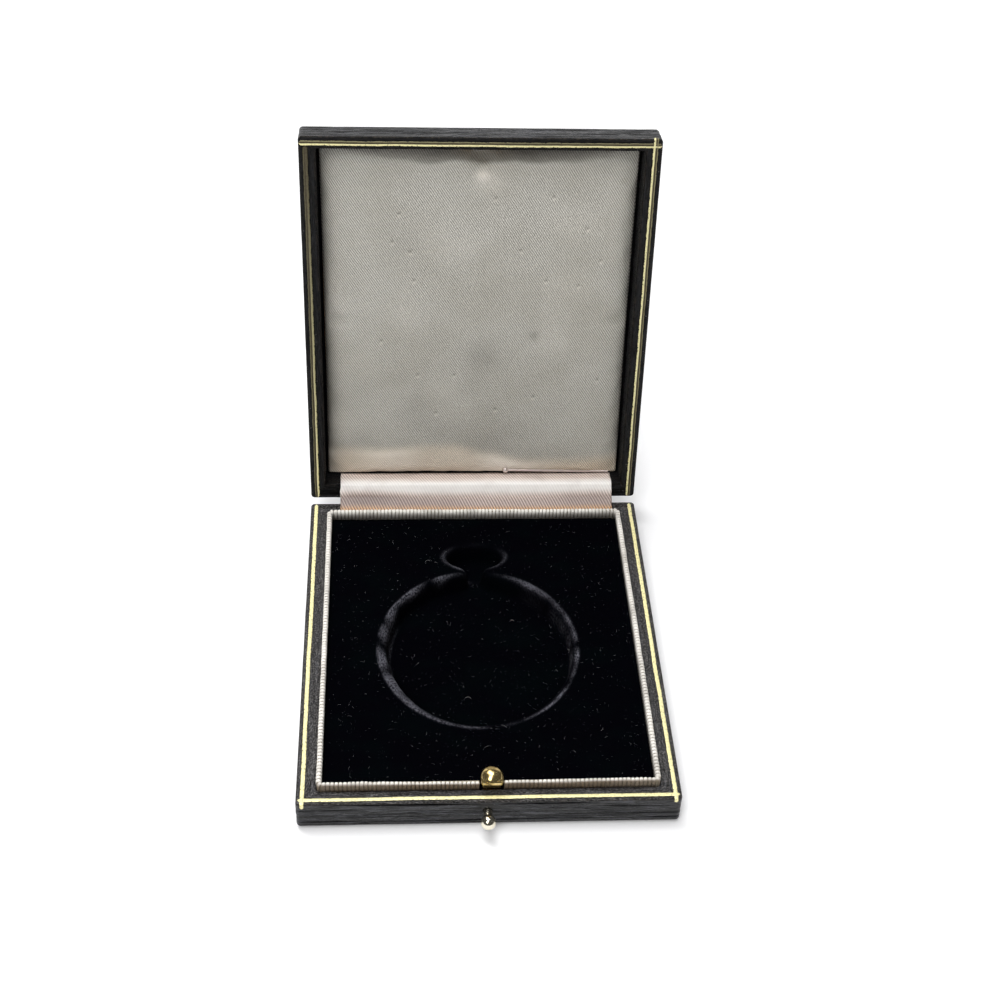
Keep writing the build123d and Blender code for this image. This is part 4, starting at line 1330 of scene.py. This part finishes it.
def fillWithAir(piece):
    # cloth under pressure, pinned where the satin is glued behind its card; run ten times larger
    spec = satinPad
    start = readPoints(piece.data)
    glued = np.nonzero(readMark(piece.data, "back") > 0.5)[0]
    writePoints(piece.data, start * spec["scale"])
    piece.vertex_groups.new(name="glued").add(glued.tolist(), 1.0, "REPLACE")
    cloth = modify(piece, "CLOTH")
    for name, value in spec["cloth"].items():
        setattr(cloth.settings, name, value)
    cloth.settings.vertex_group_mass = "glued"
    cloth.settings.effector_weights.gravity = 0.0
    cloth.collision_settings.use_collision = False
    scene = bpy.context.scene
    for step in range(1, spec["frames"] + 1):
        scene.frame_set(step)
    graph = bpy.context.evaluated_depsgraph_get()
    mesh = bpy.data.meshes.new_from_object(piece.evaluated_get(graph), depsgraph=graph)
    moved = readPoints(mesh) / spec["scale"]
    bpy.data.meshes.remove(mesh)
    piece.modifiers.clear()
    piece.vertex_groups.clear()
    scene.frame_set(1)
    # the hem stays where it is sewn, so most of a sideways move is dropped
    shift = (moved - start) * (spec["sideways"], spec["sideways"], 1.0)
    length = np.linalg.norm(shift, axis=1)
    kept = np.minimum(1.0, spec["cap"] * mm / np.maximum(length, 1e-9))
    print("pad simulated, largest move", round(float(length.max() / mm), 2), "mm")
    writePoints(piece.data, start + shift * kept[:, None])


def pinGroove(points):
    # how far the satin is pushed back where the dressmaker's pin lies along the hem
    x, y, z = points.T
    (pinX, pinY, pinZ), (tipX, tipY, tipZ), radius = satinPad["pin"]
    share = np.clip((x - pinX) / (tipX - pinX), 0, 1)
    offLine = np.abs(y - pinY - (tipY - pinY) * share)
    within = smoothstep(pinX - 1.6, pinX - 0.6, x) * (1 - smoothstep(tipX, tipX + 1.0, x))
    pressed = within * (1 - smoothstep(radius * 1.3, radius * 3.2, offLine))
    return np.clip(pinZ + (tipZ - pinZ) * share + 0.3 * radius - z, 0, None) * pressed


def padDetails(mesh):
    # presses the satin's dents and wrinkles into it, then marks its painted shade and darker patches, its
    # painted highlights and the painted warm light at its hinge end
    spec = satinPad
    points, normals = readPoints(mesh) / mm, readNormals(mesh)
    x, y = points[:, 0], points[:, 1]
    dentX, dentY, dentSize, dentDepth = spec["dent"]

    def pinholes(size, up=0.0):
        squares = ((x - holeX) ** 2 + (y - holeY - up) ** 2 for holeX, holeY in spec["pinholes"])
        return sum(np.exp(-square / size) for square in squares)

    gap = np.minimum(np.minimum(spec["x"] - np.abs(x), y - spec["front"]), spec["back"] - y)
    ripple = noiseOn(x, y, (0.16, 0.16), spec["seed"])
    pucker = noiseOn(x, y, (0.4, 0.4), spec["seed"] + 1)
    fold = noiseOn(x, y, (0.07, 0.13), spec["seed"] + 5)
    lower = smoothstep(8, 30, y)
    sink = dentDepth * bell(np.hypot(x - dentX, y - dentY), dentSize) + spec["holeDepth"] * pinholes(0.35)
    sink += spec["ripple"] * ripple + spec["pucker"] * pucker * np.exp(-gap / 3.0)
    sink += spec["fold"] * fold * lower * np.clip(gap / 4, 0, 1)
    # x and y move with the points from here on
    points -= normals * (sink * smoothstep(0.2, 0.8, -normals[:, 2]))[:, None]
    points[:, 2] += pinGroove(points)
    writePoints(mesh, points * mm)

    # painted shade in the pinholes and the catch's dent, and darker patches at the listed spots
    soil = 0.9 * pinholes(0.12) + 0.6 * np.exp(-np.hypot(x - dentX, y - dentY - 0.4) ** 2 / 2.2)
    for spotX, spotY, size, amount in spec["darkPatches"]:
        soil += amount * bell(np.hypot(x - spotX, y - spotY), size)
    # painted shadow of the lid's front wall along the top of the satin
    reach = 5.2 - 2.4 * np.abs((x - 6) / 41) + 1.4 * noiseOn(x, y, (0.13, 0.02), 32)
    fromFront = y - spec["front"]
    soil += 0.9 * np.clip(1 - ((x - 3) / 34) ** 2, 0, 1) * (1 - smoothstep(0.7 * reach, reach, fromFront))
    # painted shade where the cloth turns away at its sides, more so toward the hinge
    leftReach = 2.3 + 0.8 * smoothstep(-40, 30, y)
    soil += (0.6 + 0.18 * smoothstep(-40, 20, y)) * bell(x + spec["x"], leftReach)
    soil += 0.3 * bell(spec["x"] - x, 1.4)
    # painted shade along the folds
    soil += 0.22 * np.clip(fold + 0.1, 0, 1) * lower * (1 - smoothstep(0, 20, x))
    writeMark(mesh, "soil", np.clip(soil, 0, 0.92))

    # painted highlights below the catch's dent, on the pinholes' lower lips, in patches and over the warm end
    drift = noiseOn(x, y, (0.07, 0.07), 33)
    shine = 0.5 * bell(x - dentX, 1.8) * bell(y - dentY - 4.6 - 0.5 * drift, 1.6)
    shine += 0.22 * bell(x - dentX - 2.2, 3.6) * bell(y - dentY - 6.4, 2.8)
    shine += 0.08 * smoothstep(0, 1, drift * 1.6) + 0.35 * pinholes(0.16, 0.75)
    # painted warm light where the satin turns down at its hinge end, with a painted highlight along its edge
    edgeY = 39.0 + 3.6 * smoothstep(-8, 16, x) + 1.6 * noiseOn(x, y, (0.09, 0.05), 31)
    glowing = smoothstep(-0.4, 0.6, noiseOn(x, y, (0.05, 0.05), 35))
    beige = smoothstep(-2.4, 2.6, y - edgeY)
    shine += 0.3 * bell(y - edgeY - 1.2, 1.3) * glowing + beige * (0.35 + 0.45 * glowing) * bell(x + 4, 34)
    writeMark(mesh, "shine", np.clip(shine, 0, 1))
    writeMark(mesh, "beige", beige)


def makeWadding(pad):
    # cotton that fills the satin, a little inside it
    mesh = pad.data.copy()
    mesh.name = "padWadding"
    moved = readPoints(mesh) - readNormals(mesh) * satinPad["wadding"] * mm
    moved[:, 2] = np.minimum(moved[:, 2], (box["padCard"] - 0.02) * mm)
    writePoints(mesh, moved)
    piece = linkObject("padWadding", mesh)
    dress(piece, finish["wadding"])
    piece.data.transform(openLid)
    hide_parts("lid_pad_wadding")
    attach(piece, "lid")


def makePad():
    piece = padStart()
    fillWithAir(piece)
    modify(piece, "SUBSURF", levels=1, render_levels=1)
    piece = applied(piece)
    closeHoles(piece.data)
    padDetails(piece.data)
    makeWadding(piece)
    dress(piece, finish["satin_ivory"])
    smoothShade(piece.data)
    piece.data.transform(openLid)
    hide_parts("lid_satin_lining")
    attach(piece, "lid")


makePad()
print("pad done")


# ---- hinge ribbon

hingeRibbon = {
    "left": -37.7, "right": 39.3, "thickness": 0.22, "step": 0.45, "flat": (0.077, 0.0148), "lift": 0.25,
    "tuck": 1.2, "slack": 1.1, "bend": 1.4, "edgeRadius": 0.45, "padEdge": 14.65, "bulge": 0.3, "wave": 0.14,
    "ruffle": 0.04, "fray": 0.18, "seed": 17,
}


def lidPoint(y, z):
    # a point of the shut lid, carried to its stop, as (y, z)
    moved = openLid @ (Vector((0, y, z)) * mm)
    return moved.y / mm, moved.z / mm


def roundedLine(corners, radii, step):
    # points every step along a line whose inner corners are arcs of these radii
    corners = [np.array(corner) for corner in corners]
    line = corners[:1]
    for before, corner, after, radius in zip(corners, corners[1:], corners[2:], radii):
        first = (before - corner) / np.linalg.norm(before - corner)
        second = (after - corner) / np.linalg.norm(after - corner)
        half = acos(float(np.clip(first @ second, -1, 1))) / 2
        reach = radius / tan(half)
        centre = corner + (first + second) / np.linalg.norm(first + second) * radius / sin(half)
        start, end = corner + first * reach - centre, corner + second * reach - centre
        sweep = pi - 2 * half
        count = max(4, ceil(radius * sweep / step))
        for share in (number / count for number in range(count + 1)):
            line.append(centre + (start * sin((1 - share) * sweep) + end * sin(share * sweep)) / sin(sweep))
    line = np.array([*line, corners[-1]])
    run = distances(line)
    spots = np.linspace(0, run[-1], ceil(run[-1] / step) + 1)
    return np.column_stack([np.interp(spots, run, side) for side in line.T]), spots


def makeHingeRibbon():
    spec = hingeRibbon
    lift, rim, left, right = spec["lift"], box["lidRim"], spec["left"], spec["right"]
    trayBack, wallBack, baseTop = box["tray"][2], box["lidWall"][2], box["baseTop"]
    foot = lidPoint(box["halfDepth"], rim)
    corners = (
        (trayBack + lift, baseTop + lift),
        (trayBack + spec["tuck"], baseTop + lift),
        (foot[0] - spec["slack"], foot[1] + spec["slack"]),
        lidPoint(wallBack - lift, rim - lift),
        lidPoint(wallBack - lift, spec["padEdge"]),
    )
    profile, run = roundedLine(corners, (spec["edgeRadius"], spec["bend"], spec["edgeRadius"]), spec["step"])
    print("hinge ribbon length", round(float(run[-1]), 2), "mm")
    xs = np.linspace(left, right, round((right - left) / spec["step"]) + 1)
    gridX, gridRun = np.meshgrid(xs, run)
    slope = np.gradient(profile, axis=0)
    slope /= np.linalg.norm(slope, axis=1)[:, None]
    # waves where the ribbon hangs free, and frayed ends
    free = np.sin(np.clip((run - 1.0) / (run[-1] - 7.0), 0, 1) * pi)[:, None]
    wave = free * (spec["bulge"] + spec["wave"] * noiseOn(gridX, gridRun, (0.11, 0.16), spec["seed"])
                   + spec["ruffle"] * noiseOn(gridX, gridRun, (0.5, 0.3), spec["seed"] + 1))
    endShare = (2 * gridX - left - right) / (right - left)
    end = np.sign(endShare)
    fray = spec["fray"] * noiseOn(end, gridRun, (5, 0.5), 3) * np.abs(endShare) ** 12 * end
    gridY, gridZ = profile[:, :1] - slope[:, 1:] * wave, profile[:, 1:] + slope[:, :1] * wave
    points = np.stack((gridX + fray, gridY, gridZ), -1)
    drift = noiseOn(gridX, gridRun, (0.06, 0.1), 9)
    # worn here is the distance along the ribbon shifted by noise; it places the tan at the lip, the painted
    # shade below and the painted highlight band
    worn = gridRun + 0.9 * drift
    marks = {"tan": np.clip((1 - smoothstep(1.7, 3.2, worn)) * (0.8 + 0.4 * drift), 0, 1),
             "mauve": np.clip(0.85 - 0.5 * drift, 0, 1) * (1 - smoothstep(4.6, 6.8, worn)),
             "cream": smoothstep(5.2, 7.8, worn) * (1 - 0.72 * smoothstep(9.6, 13.0, worn))}
    mesh = gridMesh("hingeRibbon", points * mm, np.stack((gridX, gridRun), -1), marks=marks)
    piece = linkObject("hingeRibbon", mesh)
    modify(piece, "SOLIDIFY", thickness=spec["thickness"] * mm, offset=0.0)
    piece = applied(piece)
    dress(piece, finish["satin_pink"])
    smoothShade(piece.data)
    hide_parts("hinge_ribbon")
    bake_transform(piece)


makeHingeRibbon()
print("ribbon done")


# ---- floor, light and camera

room = {
    "floorSize": 3.0, "floorDrop": 2e-5, "floorColour": colour(250, 250, 251), "glow": 0.11,
    "fade": (0.25, 0.8), "ambient": 0.26, "lampAim": (0, 0, 0.03),
    "reflected": {"low": 0.34, "high": 0.6, "bright": 1.2, "dark": 0.08, "behind": (0.6, 0.95)},
    "lamps": (
        ("windowSoft", (-0.14, 0.16, 0.85), (0.36, 0.74), 6.6),
        ("frontSoft", (-0.25, -0.52, 0.76), (0.36, 0.66), 3.7),
    ),
}
white = (1, 1, 1, 1)


def makeFloor():
    spec = room
    size, drop = spec["floorSize"], -spec["floorDrop"]
    mesh = bpy.data.meshes.new("floor")
    corners = [(x * size, y * size, drop) for x, y in ((-1, -1), (1, -1), (1, 1), (-1, 1))]
    mesh.from_pydata(corners, [], [(0, 1, 2, 3)])
    floor = linkObject("floor", mesh)
    material = bpy.data.materials.new("paleFloor")
    add = partial(wire, clearedTree(material))
    matt = add("ShaderNodeBsdfDiffuse", {"Color": spec["floorColour"]})
    # far from the lamps the floor fades to white
    spot = add("ShaderNodeTexCoord", output="Object")
    away = add("ShaderNodeVectorMath", {0: spot}, "Value", operation="LENGTH")
    glow = add("ShaderNodeEmission", {"Color": white, "Strength": ramp(away, *spec["fade"], spec["glow"], 1.0)})
    both = add("ShaderNodeAddShader", {0: matt, 1: glow})
    rays = addNode(material.node_tree, "ShaderNodeLightPath")
    camera, glossy, through = wires(rays, "Is Camera Ray", "Is Glossy Ray", "Is Transmission Ray")
    seen = camera.atLeast(glossy.atLeast(through))
    chosen = add("ShaderNodeMixShader", {0: seen, 1: matt, 2: both})
    addNode(material.node_tree, "ShaderNodeOutputMaterial", {"Surface": chosen})
    mesh.materials.append(material)


def makeWorld():
    spec = room
    world = bpy.data.worlds.new("studio")
    bpy.context.scene.world = world
    add = partial(wire, clearedTree(world))
    rays = addNode(world.node_tree, "ShaderNodeLightPath")
    camera, glossy, through = wires(rays, "Is Camera Ray", "Is Glossy Ray", "Is Transmission Ray")
    # what polish and leather mirror: a bright backdrop low behind the box and a dim room elsewhere
    mirrored = spec["reflected"]
    aim = separate(add("ShaderNodeTexCoord", output="Generated"))
    backdrop = ramp(aim[2], mirrored["low"], mirrored["high"], 1.0, 0.0) * ramp(aim[1], *mirrored["behind"])
    strengths = (spec["ambient"], backdrop * mirrored["bright"] + mirrored["dark"], 1.0)
    soft, graded, plain = (
        add("ShaderNodeBackground", {"Color": white, "Strength": value}) for value in strengths)
    lit = add("ShaderNodeMixShader", {0: glossy, 1: soft, 2: graded})
    chosen = add("ShaderNodeMixShader", {0: camera.atLeast(through), 1: lit, 2: plain})
    addNode(world.node_tree, "ShaderNodeOutputWorld", {"Surface": chosen})


def makeLamps():
    for name, where, sides, power in room["lamps"]:
        lamp = bpy.data.lights.new(name, "AREA")
        lamp.shape = "RECTANGLE"
        lamp.energy = power
        lamp.size, lamp.size_y = sides
        lampObject = linkObject(name, lamp)
        lampObject.location = where
        aim = Vector(room["lampAim"]) - Vector(where)
        lampObject.rotation_euler = aim.to_track_quat("-Z", "Y").to_euler()


view = {"lens": 58.467, "sensor": 36.0, "clip": (0.01, 20.0), "place": (-21.274, -290.995, 318.386),
        "yaw": 4.7868, "down": 41.7765, "roll": 2.8969}


def makeCamera():
    yaw, down, roll = (radians(view[turn]) for turn in ("yaw", "down", "roll"))
    forward = Vector((sin(yaw) * cos(down), cos(yaw) * cos(down), -sin(down)))
    level = Vector((cos(yaw), -sin(yaw), 0))
    upright = level.cross(forward)
    right = cos(roll) * level + sin(roll) * upright
    up = -sin(roll) * level + cos(roll) * upright
    data = bpy.data.cameras.new("camera")
    data.lens = view["lens"]
    data.sensor_width = view["sensor"]
    data.clip_start, data.clip_end = view["clip"]
    camera = linkObject("camera", data)
    turn = Matrix((right, up, -forward)).transposed()
    camera.matrix_world = Matrix.Translation(Vector(view["place"]) * mm) @ turn.to_4x4()
    bpy.context.scene.camera = camera


makeFloor()
makeWorld()
makeLamps()
makeCamera()
bpy.context.scene.view_settings.view_transform = "Standard"
print("room done")
